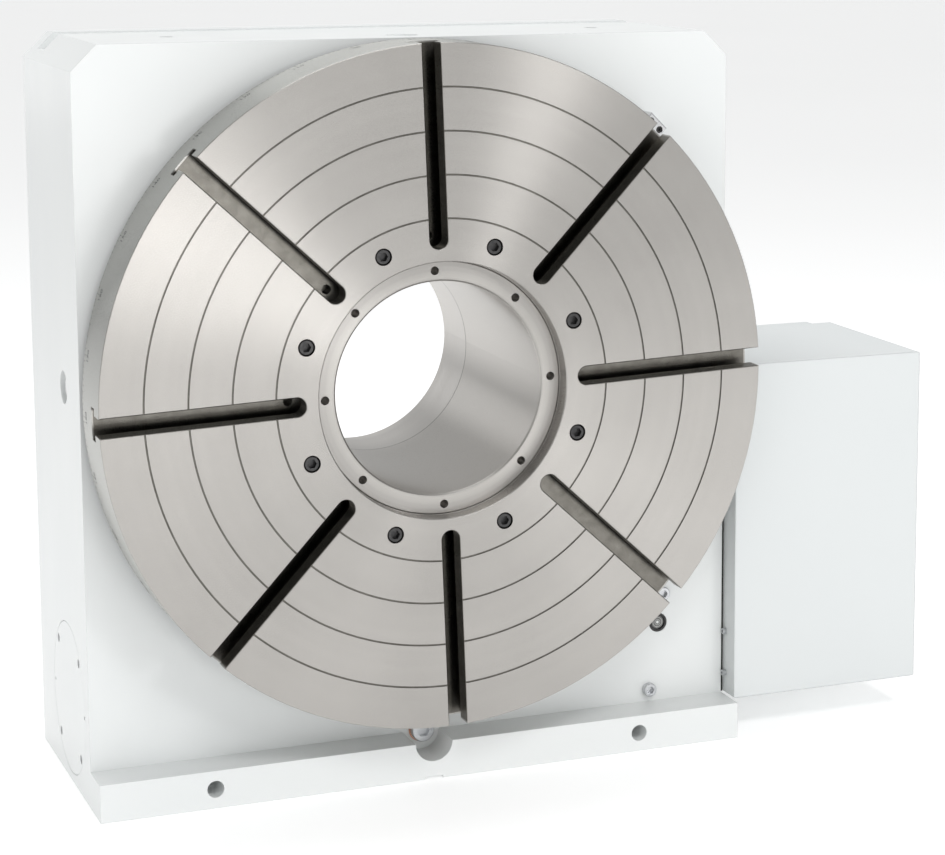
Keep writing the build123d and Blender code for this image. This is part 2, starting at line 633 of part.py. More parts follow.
def make_worm_wheel():
    outline = spur_outline(WHEEL_TEETH, GEAR_MODULE, FLANK_PLAY, 3)
    twist = math.degrees(math.tan(worm_lead_angle) * WHEEL_WIDTH / wheel_pitch_radius)
    toothed = twisted_prism(outline, WHEEL_WIDTH, twist, 1)
    toothed = Rot(0, 0, -twist / 2) * toothed
    wheel = Pos(0, -WHEEL_WIDTH / 2, axis_height) * Rot(-90, 0, 0) * toothed
    rim_inner = wheel_root_radius - WHEEL_RIM_WALL
    hub_outer = journal_radius + WHEEL_HUB_WALL
    half_web = WHEEL_WEB_WIDTH / 2
    half = WHEEL_WIDTH / 2
    wheel -= rod_y(journal_radius, -half - 1, half + 1)
    wheel -= ring_y(hub_outer, rim_inner, -half - 1, -half_web)
    wheel -= ring_y(hub_outer, rim_inner, half_web, half + 1)
    wheel += ring_y(journal_radius, hub_outer, bearing_back, -half + 1)
    cuts = []
    for x, z in around_spindle(SLOT_COUNT, flange_screw_circle, 180.0 / SLOT_COUNT):
        cuts.append(rod_y(FLANGE_SCREW * 0.75 + 0.5, wheel_screw_seat, half + 1, x, z))
        cuts.append(rod_y(FLANGE_SCREW / 2 + THREAD_PLAY, bearing_back - 1, half, x, z))
    hole_circle = (hub_outer + rim_inner) / 2
    for x, z in around_spindle(SLOT_COUNT, hole_circle, 180.0 / SLOT_COUNT):
        cuts.append(rod_y((rim_inner - hub_outer) / 4, -half, half, x, z))
    for x, z in dog_screw_spots():
        cuts.append(rod_y(DOG_SCREW / 2 + THREAD_PLAY, 0, half_web + 1, x, z))
    return turned(wheel - cuts)


def make_worm_wheel_screws():
    screw = cap_screw(FLANGE_SCREW, wheel_screw_seat - bearing_back + FLANGE_SCREW_ENGAGEMENT)
    spots = around_spindle(SLOT_COUNT, flange_screw_circle, 180.0 / SLOT_COUNT)
    return [turned(facing_rear(x, wheel_screw_seat, z) * screw) for x, z in spots]


def make_rear_sleeve():
    sleeve = rod_y(journal_radius - FIT, spindle_rear, sleeve_end)
    sleeve += rod_y(sleeve_flange_radius, disc_back, disc_back + SLEEVE_FLANGE_THICKNESS)
    sleeve -= rod_y(sleeve_bore, spindle_rear - 1, sleeve_end + 1)
    end_edge = sleeve.edges().filter_by(GeomType.CIRCLE).filter_by(
        lambda e: abs(e.radius - sleeve_bore) < 0.01
    ).sort_by(Axis.Y)[-1]
    sleeve = chamfer(end_edge, BORE_CHAMFER)
    cuts = []
    for x, z in around_spindle(SLEEVE_SCREW_COUNT, sleeve_screw_circle, 180.0 / SLEEVE_SCREW_COUNT):
        cuts.append(rod_y(SLEEVE_SCREW * 0.75 + 0.5, sleeve_screw_seat, sleeve_end + 1, x, z))
        cuts.append(rod_y(SLEEVE_SCREW / 2 + THREAD_PLAY, spindle_rear - 1, sleeve_end, x, z))
    for x, z in around_spindle(DISC_SCREW_COUNT, disc_screw_circle):
        deep = disc_back + DISC_SCREW_ENGAGEMENT + 2.0
        cuts.append(rod_y(DISC_SCREW / 2 + THREAD_PLAY, disc_back - 1, deep, x, z))
    return turned(sleeve - cuts)


def make_rear_sleeve_screws():
    screw = cap_screw(SLEEVE_SCREW, sleeve_screw_seat - spindle_rear + SLEEVE_SCREW_ENGAGEMENT)
    spots = around_spindle(SLEEVE_SCREW_COUNT, sleeve_screw_circle, 180.0 / SLEEVE_SCREW_COUNT)
    return [turned(facing_rear(x, sleeve_screw_seat, z) * screw) for x, z in spots]


def make_brake_disc():
    disc = ring_y(journal_radius, BRAKE_DISC_RADIUS, disc_front, disc_back)
    holes = [
        rod_y(DISC_SCREW / 2 + 0.4, disc_front - 1, disc_back + 1, x, z)
        for x, z in around_spindle(DISC_SCREW_COUNT, disc_screw_circle)
    ]
    return turned(disc - holes)


def make_brake_disc_screws():
    screw = cap_screw(DISC_SCREW, BRAKE_DISC_THICKNESS + DISC_SCREW_ENGAGEMENT)
    spots = around_spindle(DISC_SCREW_COUNT, disc_screw_circle)
    return [turned(facing_front(x, disc_front, z) * screw) for x, z in spots]


def dog_screw_spots():
    middle = axis_height
    return [(DOG_RADIUS, middle - DOG_LENGTH / 4), (DOG_RADIUS, middle + DOG_LENGTH / 4)]


def make_home_dog():
    """Steel block on the wheel's web that the home sensor looks for."""
    half = DOG_LENGTH / 2
    web = WHEEL_WEB_WIDTH / 2
    inner = DOG_RADIUS - DOG_WIDTH / 2
    dog = block(inner, inner + DOG_WIDTH, web, web + DOG_HEIGHT, axis_height - half, axis_height + half)
    dog = chamfer(dog.edges().filter_by(Axis.Y), 1.0)
    hole = DOG_SCREW / 2 + THREAD_PLAY
    holes = [rod_y(hole, web - 1, web + DOG_HEIGHT + 1, x, z) for x, z in dog_screw_spots()]
    return turned(dog - holes)


# ---- Housing ---------------------------------------------------------------
def ledge_spots():
    return around_spindle(LEDGE_SCREW_COUNT, ledge_screw_circle, 180.0 / LEDGE_SCREW_COUNT)


def cover_spots():
    return around_spindle(COVER_SCREW_COUNT, cover_screw_circle, 180.0 / COVER_SCREW_COUNT)


def worm_cover_spots():
    reach = WORM_COVER_SCREW_RADIUS * math.sqrt(0.5)
    return [(y, WORM_HEIGHT + z) for y in (-reach, reach) for z in (-reach, reach)]


def drive_screw_spots():
    side = DRIVE_PLATE_HALF_WIDTH - DRIVE_SCREW
    rows = (plate_bottom + DRIVE_SCREW * 1.5, motor_height, plate_top - DRIVE_SCREW * 1.5)
    return [(y, z) for y in (-side, side) for z in rows]


def bracket_screw_spots():
    y = -(DRIVE_PLATE_HALF_WIDTH + BRACKET_FOOT / 2)
    return [(y, BRACKET_SCREW_HEIGHT + z) for z in (0, BRACKET_SCREW_SPACING)]


def top_lip_screw_spots():
    z = cover_top - COVER_LIP / 2
    return [(y, z) for y in (-FRONT_DEPTH + COVER_LIP / 2, COVER_SPLIT - COVER_LIP)]


def valve_screw_spots():
    reach = VALVE_SIZE / 2 - FITTING_SCREW * 1.5
    return [(VALVE_Y + y, VALVE_HEIGHT + z) for y in (-reach, reach) for z in (-reach, reach)]


def oil_places():
    drain = (half_width - DRAIN_INSET, WORM_HEIGHT - DRAIN_DROP)
    filler = (half_width - FILLER_INSET, WORM_HEIGHT + FILLER_RISE)
    sight = (half_width - SIGHT_INSET, WORM_HEIGHT + SIGHT_RISE)
    return drain, filler, sight


def base_keyway(y0, y1):
    half = KEYWAY_WIDTH / 2
    return block(-half, half, y0, y1, -1, KEYWAY_DEPTH)


def fitting_holes():
    """Holes for the plugs, the sight glass and the small fittings."""
    front = -FRONT_DEPTH
    drain, filler, sight = oil_places()
    holes = [
        rod_y(FRONT_PORT_THREAD + THREAD_PLAY, front - 1, front + 18, 0, FRONT_PORT_HEIGHT),
        rod_y(OIL_HOLE, front, 0, 0, FRONT_PORT_HEIGHT),
        rod_y(SIGHT_RADIUS + FIT, front - 1, front + SIGHT_DEPTH, *sight),
        rod_y(OIL_HOLE, front, front + FRONT_DEPTH / 2 + OIL_HOLE * 3, *sight),
        rod_z(OIL_HOLE, WORM_HEIGHT + bearing_bore / 2, filler[1], filler[0], front / 5),
        rod_y(OIL_HOLE, front, front / 5, *filler),
        rod_y(OIL_HOLE, front, front / 2 + OIL_HOLE * 3, *drain),
        rod_x(SIDE_POCKET_RADIUS, -half_width - 1, -half_width + SIDE_POCKET_DEPTH, SIDE_PORT_Y, axis_height),
        rod_x(SIDE_PLUG_RADIUS - 3, -half_width, -chamber_radius + 5, SIDE_PORT_Y, axis_height),
    ]
    for x, z in (drain, filler):
        holes.append(rod_y(PLUG_THREAD + THREAD_PLAY, front - 1, front + PLUG_HEAD * 2, x, z))
    for y in (-WORM_COVER_RADIUS + PLUG_HEAD, WORM_COVER_RADIUS - PLUG_HEAD):
        holes.append(rod_x(JACK_HOLE, -half_width - 1, -half_width + WORM_COVER_THICKNESS, y))
    holes.append(rod_x(SENSOR_RADIUS + THREAD_PLAY, SENSOR_TIP - 2, half_width + 1, SENSOR_Y, sensor_height))
    return holes


def gallery_holes():
    """Oil way from the clamp valve to the brake cylinder."""
    x = half_width - GALLERY_INSET
    return [
        rod_x(GALLERY_RADIUS, x, half_width + 1, VALVE_Y, VALVE_HEIGHT),
        rod_y(GALLERY_RADIUS, VALVE_Y - GALLERY_RADIUS, REAR_DEPTH + 1, x, VALVE_HEIGHT),
        rod_y(PLUG_THREAD + THREAD_PLAY, REAR_DEPTH - PLUG_HEAD * 3, REAR_DEPTH, x, VALVE_HEIGHT),
        rod_y(PLUG_RADIUS + 1, REAR_DEPTH - PLUG_HEAD - 1, REAR_DEPTH + 1, x, VALVE_HEIGHT),
        rod_x(GALLERY_RADIUS, rear_bore / 2, x, port_depth, VALVE_HEIGHT),
    ]


def make_housing():
    front = -FRONT_DEPTH
    body = block(-half_width, half_width, front, REAR_DEPTH, 0, body_top)
    body = chamfer(body.edges().filter_by(Axis.Y).group_by(Axis.Z)[-1], CORNER_CHAMFER)
    body += block(-half_width, half_width, front - FOOT_REACH, front, 0, FOOT_HEIGHT)
    cuts = [
        rod_y(front_opening, front - 1, flange_back),
        rod_y(bearing_seat, flange_back, -CHAMBER_FRONT),
        rod_y(chamber_radius, -CHAMBER_FRONT, CHAMBER_REAR),
        rod_y(rear_bore, CHAMBER_REAR, rear_cover_front),
        rod_y(rear_ledge, rear_cover_front, REAR_DEPTH + 1),
        rod_x(worm_bore, -bearing_near, bearing_near),
        rod_x(bearing_bore, -half_width - 1, -bearing_near),
        rod_x(bearing_bore, bearing_near, pocket_floor),
        rod_x(WORM_COVER_RADIUS + SEAM, -half_width - 1, -half_width + WORM_COVER_THICKNESS),
        rod_x(driven_pocket, pocket_floor, half_width + 1),
        rod_x(pinion_pocket, pocket_floor, half_width + 1, 0, motor_height),
        rod_y(NOTCH_RADIUS, front - FOOT_REACH - 1, front, 0, FOOT_HEIGHT),
        base_keyway(front - FOOT_REACH - 1, front - FOOT_REACH + KEYWAY_LENGTH),
        base_keyway(REAR_DEPTH - KEYWAY_LENGTH, REAR_DEPTH + 1),
        block(-half_width - 1, half_width + 1, TOP_GROOVE_FRONT, TOP_GROOVE_FRONT + TOP_GROOVE_WIDTH,
              body_top - TOP_GROOVE_DEPTH, body_top + 1),
        rod_z(LIFT_TAP_SIZE / 2, body_top - LIFT_TAP_DEPTH, body_top + 1, 0, LIFT_TAP_Y),
        rod_z(LIFT_SPOT_RADIUS, body_top - LIFT_SPOT_DEPTH, body_top + 1, 0, LIFT_TAP_Y),
    ]
    for side in (-1, 1):
        x = side * TOP_TAP_SPACING / 2
        cuts.append(rod_z(TOP_TAP_SIZE / 2, body_top - TOP_TAP_DEPTH, body_top + 1, x, TOP_TAP_Y))
        x = side * FOOT_TAP_SPACING / 2
        tap_end = front - FOOT_REACH + FOOT_TAP_DEPTH
        cuts.append(rod_y(FOOT_TAP_SIZE / 2, front - FOOT_REACH - 1, tap_end, x, FOOT_TAP_HEIGHT))
    for x, z in around_spindle(BEARING_SCREW_COUNT, bearing_screw_circle):
        deep = flange_back - BEARING_SCREW_ENGAGEMENT - 2
        cuts.append(rod_y(BEARING_SCREW / 2 + THREAD_PLAY, deep, flange_back + 1, x, z))
    for x, z in ledge_spots():
        deep = CHAMBER_REAR - LEDGE_SCREW_ENGAGEMENT - 2
        cuts.append(rod_y(LEDGE_SCREW / 2 + THREAD_PLAY, deep, CHAMBER_REAR + 1, x, z))
    for x, z in cover_spots():
        deep = rear_cover_front - COVER_SCREW_ENGAGEMENT - 2
        cuts.append(rod_y(COVER_SCREW / 2 + THREAD_PLAY, deep, rear_cover_front + 1, x, z))
    for y, z in worm_cover_spots():
        start = -half_width + WORM_COVER_THICKNESS
        cuts.append(rod_x(WORM_COVER_SCREW / 2 + THREAD_PLAY, start - 1, start + 16, y, z))
    for y, z in drive_screw_spots():
        deep = half_width - DRIVE_SCREW_ENGAGEMENT - 2
        cuts.append(rod_x(DRIVE_SCREW / 2 + THREAD_PLAY, deep, half_width + 1, y, z))
    for y, z in bracket_screw_spots() + top_lip_screw_spots():
        cuts.append(rod_x(SHEET_SCREW / 2 + THREAD_PLAY, half_width - 14, half_width + 1, y, z))
    for y, z in valve_screw_spots():
        cuts.append(rod_x(SHEET_SCREW / 2 + THREAD_PLAY, half_width - 14, half_width + 1, y, z))
    for x, z in index_screw_spots():
        cuts.append(rod_y(SHEET_SCREW / 2 + THREAD_PLAY, front - 1, front + 12, x, z))
    return body - cuts - fitting_holes() - gallery_holes()


def make_rear_cover():
    cover = ring_y(journal_radius + SEAL_SPACE, rear_ledge - FIT, rear_cover_front, rear_cover_back)
    rims = cover.edges().filter_by(GeomType.CIRCLE).group_by(Axis.Y)[-1]
    cover = chamfer(rims, 1.0)
    holes = []
    for x, z in cover_spots():
        holes.append(rod_y(COVER_SCREW / 2 + THREAD_PLAY, rear_cover_front - 1, rear_cover_back, x, z))
        holes.append(rod_y(COVER_SCREW * 0.75 + 0.5, cover_screw_seat, rear_cover_back + 1, x, z))
    return cover - holes


def make_rear_cover_screws():
    screw = cap_screw(COVER_SCREW, cover_screw_seat - rear_cover_front + COVER_SCREW_ENGAGEMENT)
    return [facing_rear(x, cover_screw_seat, z) * screw for x, z in cover_spots()]


def lip_seal(inner, outer, y0, y1):
    """Sealing ring of rubber-like section: a body with a thin lip towards the shaft."""
    lip = (y1 - y0) / 4
    middle = (y0 + y1) / 2
    ring = ring_y(inner + 3.0, outer, y0, y1)
    ring += ring_y(inner, inner + 3.5, middle - lip, middle + lip)
    ring -= ring_y(inner + 6.0, outer - 4.0, y1 - 4.0, y1 + 1)
    return ring


# ---- Brake -----------------------------------------------------------------
def ledge_holes():
    return [
        rod_y(LEDGE_SCREW / 2 + THREAD_PLAY, CHAMBER_REAR - 1, cylinder_back + 1, x, z)
        for x, z in ledge_spots()
    ]


def make_brake_ring():
    return ring_y(BRAKE_RING_INNER, rear_bore - FIT, CHAMBER_REAR, brake_ring_back) - ledge_holes()


def make_brake_cylinder():
    body = ring_y(CYLINDER_INNER, rear_bore - FIT, brake_ring_back, cylinder_back)
    land = piston_front + BRAKE_TRAVEL_ROOM
    body -= ring_y(CYLINDER_INNER - 5, BRAKE_DISC_RADIUS + 6, brake_ring_back - 1, land)
    body -= ring_y(PISTON_INNER_RADIUS, PISTON_OUTER_RADIUS, land - 1, groove_floor)
    pockets = [
        rod_y(LEDGE_SCREW * 0.75 + 0.5, ledge_screw_seat, cylinder_back + 1, x, z) for x, z in ledge_spots()
    ]
    port_x = (PISTON_INNER_RADIUS + PISTON_OUTER_RADIUS) / 2 - 10
    port = [
        rod_x(GALLERY_RADIUS, port_x, rear_bore + 1, port_depth, VALVE_HEIGHT),
        rod_y(GALLERY_RADIUS, groove_floor - 1, port_depth, port_x, VALVE_HEIGHT),
    ]
    return body - ledge_holes() - pockets - port


def make_brake_screws():
    screw = cap_screw(LEDGE_SCREW, ledge_screw_seat - CHAMBER_REAR + LEDGE_SCREW_ENGAGEMENT)
    return [facing_rear(x, ledge_screw_seat, z) * screw for x, z in ledge_spots()]


def seal_groove(radius):
    half = OIL_SEAL_SECTION / 2
    middle = (piston_front + piston_back) / 2 + PISTON_THICKNESS / 5
    return ring_y(radius - half, radius + half, middle - half, middle + half)


def make_piston():
    inner = PISTON_INNER_RADIUS + PISTON_PLAY
    outer = PISTON_OUTER_RADIUS - PISTON_PLAY
    piston = ring_y(inner, outer, piston_front, piston_back)
    piston -= seal_groove(PISTON_INNER_RADIUS)
    piston -= seal_groove(PISTON_OUTER_RADIUS)
    return piston


def make_piston_seals():
    section = OIL_SEAL_SECTION / 2 - PISTON_PLAY
    middle = (piston_front + piston_back) / 2 + PISTON_THICKNESS / 5
    inner = PISTON_INNER_RADIUS + PISTON_PLAY
    outer = PISTON_OUTER_RADIUS - PISTON_PLAY
    return [
        ring_y(inner, inner + section - PISTON_PLAY, middle - section, middle + section),
        ring_y(outer - section + PISTON_PLAY, outer, middle - section, middle + section),
    ]


# ---- Worm ------------------------------------------------------------------
def worm_outline():
    """Section square to the worm's axis, with the groove's middle at 180 degrees."""
    half_lead = worm_lead / 2
    tip = worm_lead / 4 - FLANK_PLAY - GEAR_MODULE * math.tan(math.radians(20))
    root = worm_lead / 4 - FLANK_PLAY + 1.25 * GEAR_MODULE * math.tan(math.radians(20))
    tip_end = half_lead - tip
    root_end = half_lead - root
    steps = [worm_lead * k / WORM_FACETS - half_lead for k in range(WORM_FACETS)]
    steps = sorted(steps + [-tip_end, -root_end, root_end, tip_end])
    points = []
    for s in steps:
        share = (abs(s) - root_end) / (tip_end - root_end)
        radius = worm_root_radius + min(max(share, 0), 1) * (worm_tip_radius - worm_root_radius)
        angle = math.pi + 2 * math.pi * s / worm_lead
        points.append((radius * math.cos(angle), radius * math.sin(angle)))
    return points


def make_worm_shaft():
    length = worm_lead * WORM_TURNS
    thread = twisted_prism(worm_outline(), length, 360.0 * WORM_TURNS, WORM_TURNS * WORM_FACETS)
    thread = Rot(0, 90, 0) * Pos(0, 0, -length / 2) * Rot(0, 0, -180.0 * WORM_TURNS) * thread
    thread = thread.rotate(Axis.X, worm_turn)
    shaft = Pos(0, 0, WORM_HEIGHT) * thread
    half = length / 2
    shoulder = bearing_near - 4.0
    shaft += rod_x(worm_root_radius - 4, -shoulder, -half + 1)
    shaft += rod_x(worm_root_radius - 4, half - 1, shoulder)
    nut_end = bearing_far + LOCKNUT_WIDTH
    shaft += rod_x(WORM_JOURNAL_RADIUS, -nut_end - 4, -shoulder + 1)
    shaft += rod_x(WORM_JOURNAL_RADIUS, shoulder - 1, nut_end + 4)
    return shaft + rod_x(GEAR_SEAT_RADIUS, nut_end, gear_start + DRIVE_GEAR_WIDTH + 4)


def make_locknuts():
    nuts = []
    for side in (-1, 1):
        x0, x1 = sorted((side * bearing_far, side * (bearing_far + LOCKNUT_WIDTH)))
        nut = ring_x(WORM_JOURNAL_RADIUS, WORM_JOURNAL_RADIUS + 13, x0, x1)
        for k in range(4):
            angle = math.radians(90 * k + 45)
            reach = WORM_JOURNAL_RADIUS + 13
            y, z = reach * math.cos(angle), WORM_HEIGHT + reach * math.sin(angle)
            nut -= block(x0 - 1, x1 + 1, y - 4, y + 4, z - 4, z + 4)
        nuts.append(nut)
    return nuts


def race_radius(x, offset):
    """Radius of the cone that lies offset away from the tapered rollers' axes."""
    slope = math.tan(math.radians(WORM_BEARING_TILT))
    middle = (bearing_near + bearing_far) / 2
    return race_middle + (x - middle) * slope + offset / math.cos(math.radians(WORM_BEARING_TILT))


def tapered_solid(offset, x0, x1):
    """Cone frustum about the worm axis between x0 and x1 on the right-hand side."""
    height = x1 - x0
    cone = Cone(race_radius(x0, offset), race_radius(x1, offset), height)
    return Pos((x0 + x1) / 2, 0, WORM_HEIGHT) * Rot(0, 90, 0) * cone


def mirrored(shape):
    return mirror(shape, about=Plane.YZ)


def make_bearing_cup():
    cup = rod_x(bearing_bore - FIT, bearing_near, bearing_far - 4)
    return cup - tapered_solid(WORM_BEARING_ROLLER + LOOSE / 2, bearing_near - 1, bearing_far + 1)


def make_bearing_cone():
    cone = tapered_solid(-WORM_BEARING_ROLLER - LOOSE / 2, bearing_near + 2, bearing_far - 3)
    cone += rod_x(race_radius(bearing_far, -WORM_BEARING_ROLLER) + 2, bearing_far - 3, bearing_far)
    cone += rod_x(race_radius(bearing_near, -WORM_BEARING_ROLLER), bearing_near - 4, bearing_near + 2)
    return cone - rod_x(WORM_JOURNAL_RADIUS, bearing_near - 5, bearing_far + 1)


def make_bearing_rollers():
    rollers = []
    middle = (bearing_near + bearing_far) / 2
    length = WORM_BEARING_WIDTH - 13.0
    for k in range(WORM_BEARING_ROLLERS):
        angle = 360.0 * k / WORM_BEARING_ROLLERS
        place = Pos(middle, 0, WORM_HEIGHT) * Rot(angle, 0, 0) * Pos(0, 0, race_middle)
        rollers.append(place * Rot(0, 90 - WORM_BEARING_TILT, 0) * Cylinder(WORM_BEARING_ROLLER, length))
    return rollers


def make_driven_gear():
    face = make_face(Polyline(*spur_outline(DRIVEN_TEETH, DRIVE_MODULE, DRIVE_BACKLASH, 5), close=True))
    gear = Rot(0, 90, 0) * extrude(face, DRIVE_GEAR_WIDTH)
    gear = gear.rotate(Axis.X, worm_turn)
    gear = Pos(gear_start, 0, WORM_HEIGHT) * gear
    return gear - rod_x(GEAR_SEAT_RADIUS, gear_start - 1, gear_start + DRIVE_GEAR_WIDTH + 1)


def make_pinion():
    face = make_face(Polyline(*spur_outline(PINION_TEETH, DRIVE_MODULE, DRIVE_BACKLASH, 5), close=True))
    gear = Rot(0, 90, 0) * Rot(0, 0, 180.0 / PINION_TEETH) * extrude(face, DRIVE_GEAR_WIDTH)
    gear = gear.rotate(Axis.X, -worm_turn * DRIVEN_TEETH / PINION_TEETH)
    gear = Pos(gear_start, 0, motor_height) * gear
    bore = rod_x(MOTOR_SHAFT_RADIUS, gear_start - 1, gear_start + DRIVE_GEAR_WIDTH + 1, 0, motor_height)
    return gear - bore


def make_worm_end_cover():
    outer = -half_width
    inner = outer + WORM_COVER_THICKNESS
    cover = rod_x(WORM_COVER_RADIUS, outer, inner)
    cover = chamfer(cover.edges().filter_by(GeomType.CIRCLE).sort_by(Axis.X)[0], 0.6)
    cover += rod_x(bearing_bore - FIT, inner, inner + 15)
    cuts = [rod_x(bearing_bore - 12, inner + 1, inner + 16)]
    for y, z in worm_cover_spots():
        cuts.append(rod_x(WORM_COVER_SCREW / 2 + THREAD_PLAY, outer, inner + 1, y, z))
        cuts.append(rod_x(WORM_COVER_SCREW * 0.75 + 1.0, outer - 1, outer + WORM_COVER_SCREW + 2, y, z))
    for y in (-WORM_COVER_RADIUS + PLUG_HEAD, WORM_COVER_RADIUS - PLUG_HEAD):
        cuts.append(rod_x(JACK_HOLE, outer - 1, inner + 1, y))
    return cover - cuts


def make_worm_end_cover_screws():
    seat = -half_width + WORM_COVER_SCREW + 2
    length = WORM_COVER_THICKNESS - WORM_COVER_SCREW - 2 + 14
    screw = cap_screw(WORM_COVER_SCREW, length)
    return [facing_left(seat, y, z) * screw for y, z in worm_cover_spots()]


# ---- Drive -----------------------------------------------------------------
def motor_screw_spots():
    reach = MOTOR_SCREW_SPACING / 2
    return [(y, motor_height + z) for y in (-reach, reach) for z in (-reach, reach)]


def make_drive_plate():
    half = DRIVE_PLATE_HALF_WIDTH
    plate = block(half_width, plate_outer, -half, half, plate_bottom, plate_top)
    plate = chamfer(plate.edges().filter_by(Axis.X), 8.0)
    cuts = [rod_x(MOTOR_SPIGOT_RADIUS + FIT, half_width - 1, plate_outer + 1, 0, motor_height)]
    cuts.append(rod_x(GEAR_SEAT_RADIUS + 4, half_width - 1, half_width + 6))
    for y, z in drive_screw_spots():
        cuts.append(rod_x(DRIVE_SCREW / 2 + THREAD_PLAY, half_width - 1, plate_outer, y, z))
        cuts.append(rod_x(DRIVE_SCREW * 0.75 + 0.5, drive_screw_seat, plate_outer + 1, y, z))
    for y, z in motor_screw_spots():
        cuts.append(rod_x(MOTOR_SCREW / 2 + THREAD_PLAY, half_width + 1, plate_outer + 1, y, z))
    return plate - cuts


def make_drive_plate_screws():
    screw = cap_screw(DRIVE_SCREW, drive_screw_seat - half_width + DRIVE_SCREW_ENGAGEMENT)
    return [facing_right(drive_screw_seat, y, z) * screw for y, z in drive_screw_spots()]


def make_motor_body():
    half = MOTOR_SIZE / 2
    flange_end = plate_outer + MOTOR_FLANGE_THICKNESS
    flange = block(plate_outer, flange_end, -half, half, motor_height - half, motor_height + half)
    flange = fillet(flange.edges().filter_by(Axis.X), 14.0)
    half = MOTOR_BODY_SIZE / 2
    end = plate_outer + MOTOR_LENGTH
    body = block(flange_end, end, -half, half, motor_height - half, motor_height + half)
    body = chamfer(body.edges().filter_by(Axis.X), 20.0)
    slots = []
    for k in range(MOTOR_FINS):
        y = (k - (MOTOR_FINS - 1) / 2) * MOTOR_FIN_PITCH
        for z in (motor_height - half, motor_height + half):
            slots.append(block(flange_end + 8, end - 8, y - 3, y + 3, z - 4, z + 4))
        z = motor_height + y
        for side in (-half, half):
            slots.append(block(flange_end + 8, end - 8, side - 4, side + 4, z - 3, z + 3))
    motor = flange + (body - slots)
    motor += rod_x(MOTOR_SPIGOT_RADIUS, plate_outer - 5, plate_outer, 0, motor_height)
    motor -= rod_x(MOTOR_SHAFT_RADIUS + LOOSE, plate_outer - 6, end + 1, 0, motor_height)
    motor -= rod_x(MOTOR_ROTOR_RADIUS + 1, flange_end, end + 1, 0, motor_height)
    for y, z in motor_screw_spots():
        motor -= rod_x(MOTOR_SCREW / 2 + THREAD_PLAY, plate_outer - 1, flange_end + 1, y, z)
        motor -= rod_x(MOTOR_SCREW * 0.75 + 1, flange_end, flange_end + MOTOR_SCREW * 2, y, z)
    return motor


def make_motor_screws():
    seat = plate_outer + MOTOR_FLANGE_THICKNESS
    screw = cap_screw(MOTOR_SCREW, MOTOR_FLANGE_THICKNESS + MOTOR_SCREW_ENGAGEMENT)
    return [facing_right(seat, y, z) * screw for y, z in motor_screw_spots()]


def make_motor_end_cap():
    """Encoder housing with two plug stubs on its top."""
    start = plate_outer + MOTOR_LENGTH
    half = MOTOR_BODY_SIZE / 2 - 6
    cap = block(start, start + MOTOR_CAP_LENGTH, -half, half, motor_height - half, motor_height + half)
    cap = chamfer(cap.edges().filter_by(Axis.X), 18.0)
    cap = fillet(cap.edges().group_by(Axis.X)[-1], 4.0)
    for y in (-34, 34):
        x = start + MOTOR_CAP_LENGTH / 2
        cap += rod_z(13.0, motor_height + half - 1, motor_height + half + 26, x, y)
        cap += rod_z(15.0, motor_height + half + 12, motor_height + half + 20, x, y)
    return cap - rod_x(MOTOR_SHAFT_RADIUS + 4, start - 1, start + MOTOR_CAP_LENGTH / 2, 0, motor_height)


def make_motor_shaft():
    flange_end = plate_outer + MOTOR_FLANGE_THICKNESS
    end = plate_outer + MOTOR_LENGTH
    shaft = rod_x(MOTOR_SHAFT_RADIUS, gear_start - 4, end + MOTOR_CAP_LENGTH / 4, 0, motor_height)
    return shaft + rod_x(MOTOR_ROTOR_RADIUS, flange_end + 8, end - 8, 0, motor_height)


# ---- Motor cover -----------------------------------------------------------
def shell_box(inset, y0, y1):
    return block(cover_left + inset, cover_right - inset, y0, y1, COVER_BOTTOM + inset, cover_top - inset)


def make_cover_front():
    outer = shell_box(0, -COVER_FRONT, COVER_SPLIT)
    outer = fillet(outer.edges().filter_by(Axis.Y), COVER_EDGE_RADIUS)
    inner = shell_box(COVER_SHEET, -COVER_FRONT + COVER_SHEET, COVER_SPLIT + 1)
    shell = outer - inner
    lip_edge = -COVER_FRONT + COVER_LIP
    shell -= block(cover_left - 1, cover_left + COVER_SHEET + 1, lip_edge, COVER_SPLIT + 1,
                   COVER_BOTTOM + COVER_SHEET, cover_top - COVER_LIP)
    holes = [
        rod_x(SHEET_SCREW / 2 + THREAD_PLAY, cover_left - 1, cover_left + COVER_SHEET + 1, y, z)
        for y, z in lip_screw_spots() + top_lip_screw_spots()
    ]
    return shell - holes


def make_cover_rear():
    outer = shell_box(COVER_STEP, rear_box_front, COVER_REAR)
    outer = fillet(outer.edges().filter_by(Axis.Y), COVER_EDGE_RADIUS)
    box = outer - shell_box(COVER_STEP + COVER_SHEET, rear_box_front - 1, COVER_REAR - COVER_SHEET)
    for x, z in socket_spots():
        box -= rod_y(SOCKET_RADIUS, COVER_REAR - COVER_SHEET - 1, COVER_REAR + 1, x, z)
    box -= rod_y(INLET_RADIUS, COVER_REAR - COVER_SHEET - 1, COVER_REAR + 1, *inlet_spot())
    return box


def make_cover_gasket():
    outer = shell_box(COVER_SHEET, COVER_SPLIT - GASKET_WIDTH, COVER_SPLIT)
    return outer - shell_box(COVER_STEP, COVER_SPLIT - GASKET_WIDTH - 1, COVER_SPLIT + 1)


def make_cover_seal():
    """Black strip between the motor cover and the housing's side."""
    x0, x1 = half_width, cover_left
    front = -FRONT_DEPTH + SEAL_INSET
    top = cover_top - SEAL_INSET
    seal = block(x0, x1, front, front + SEAL_WIDTH, COVER_BOTTOM, top)
    seal += block(x0, x1, front, COVER_SPLIT - SEAL_INSET, top - SEAL_WIDTH, top)
    return seal


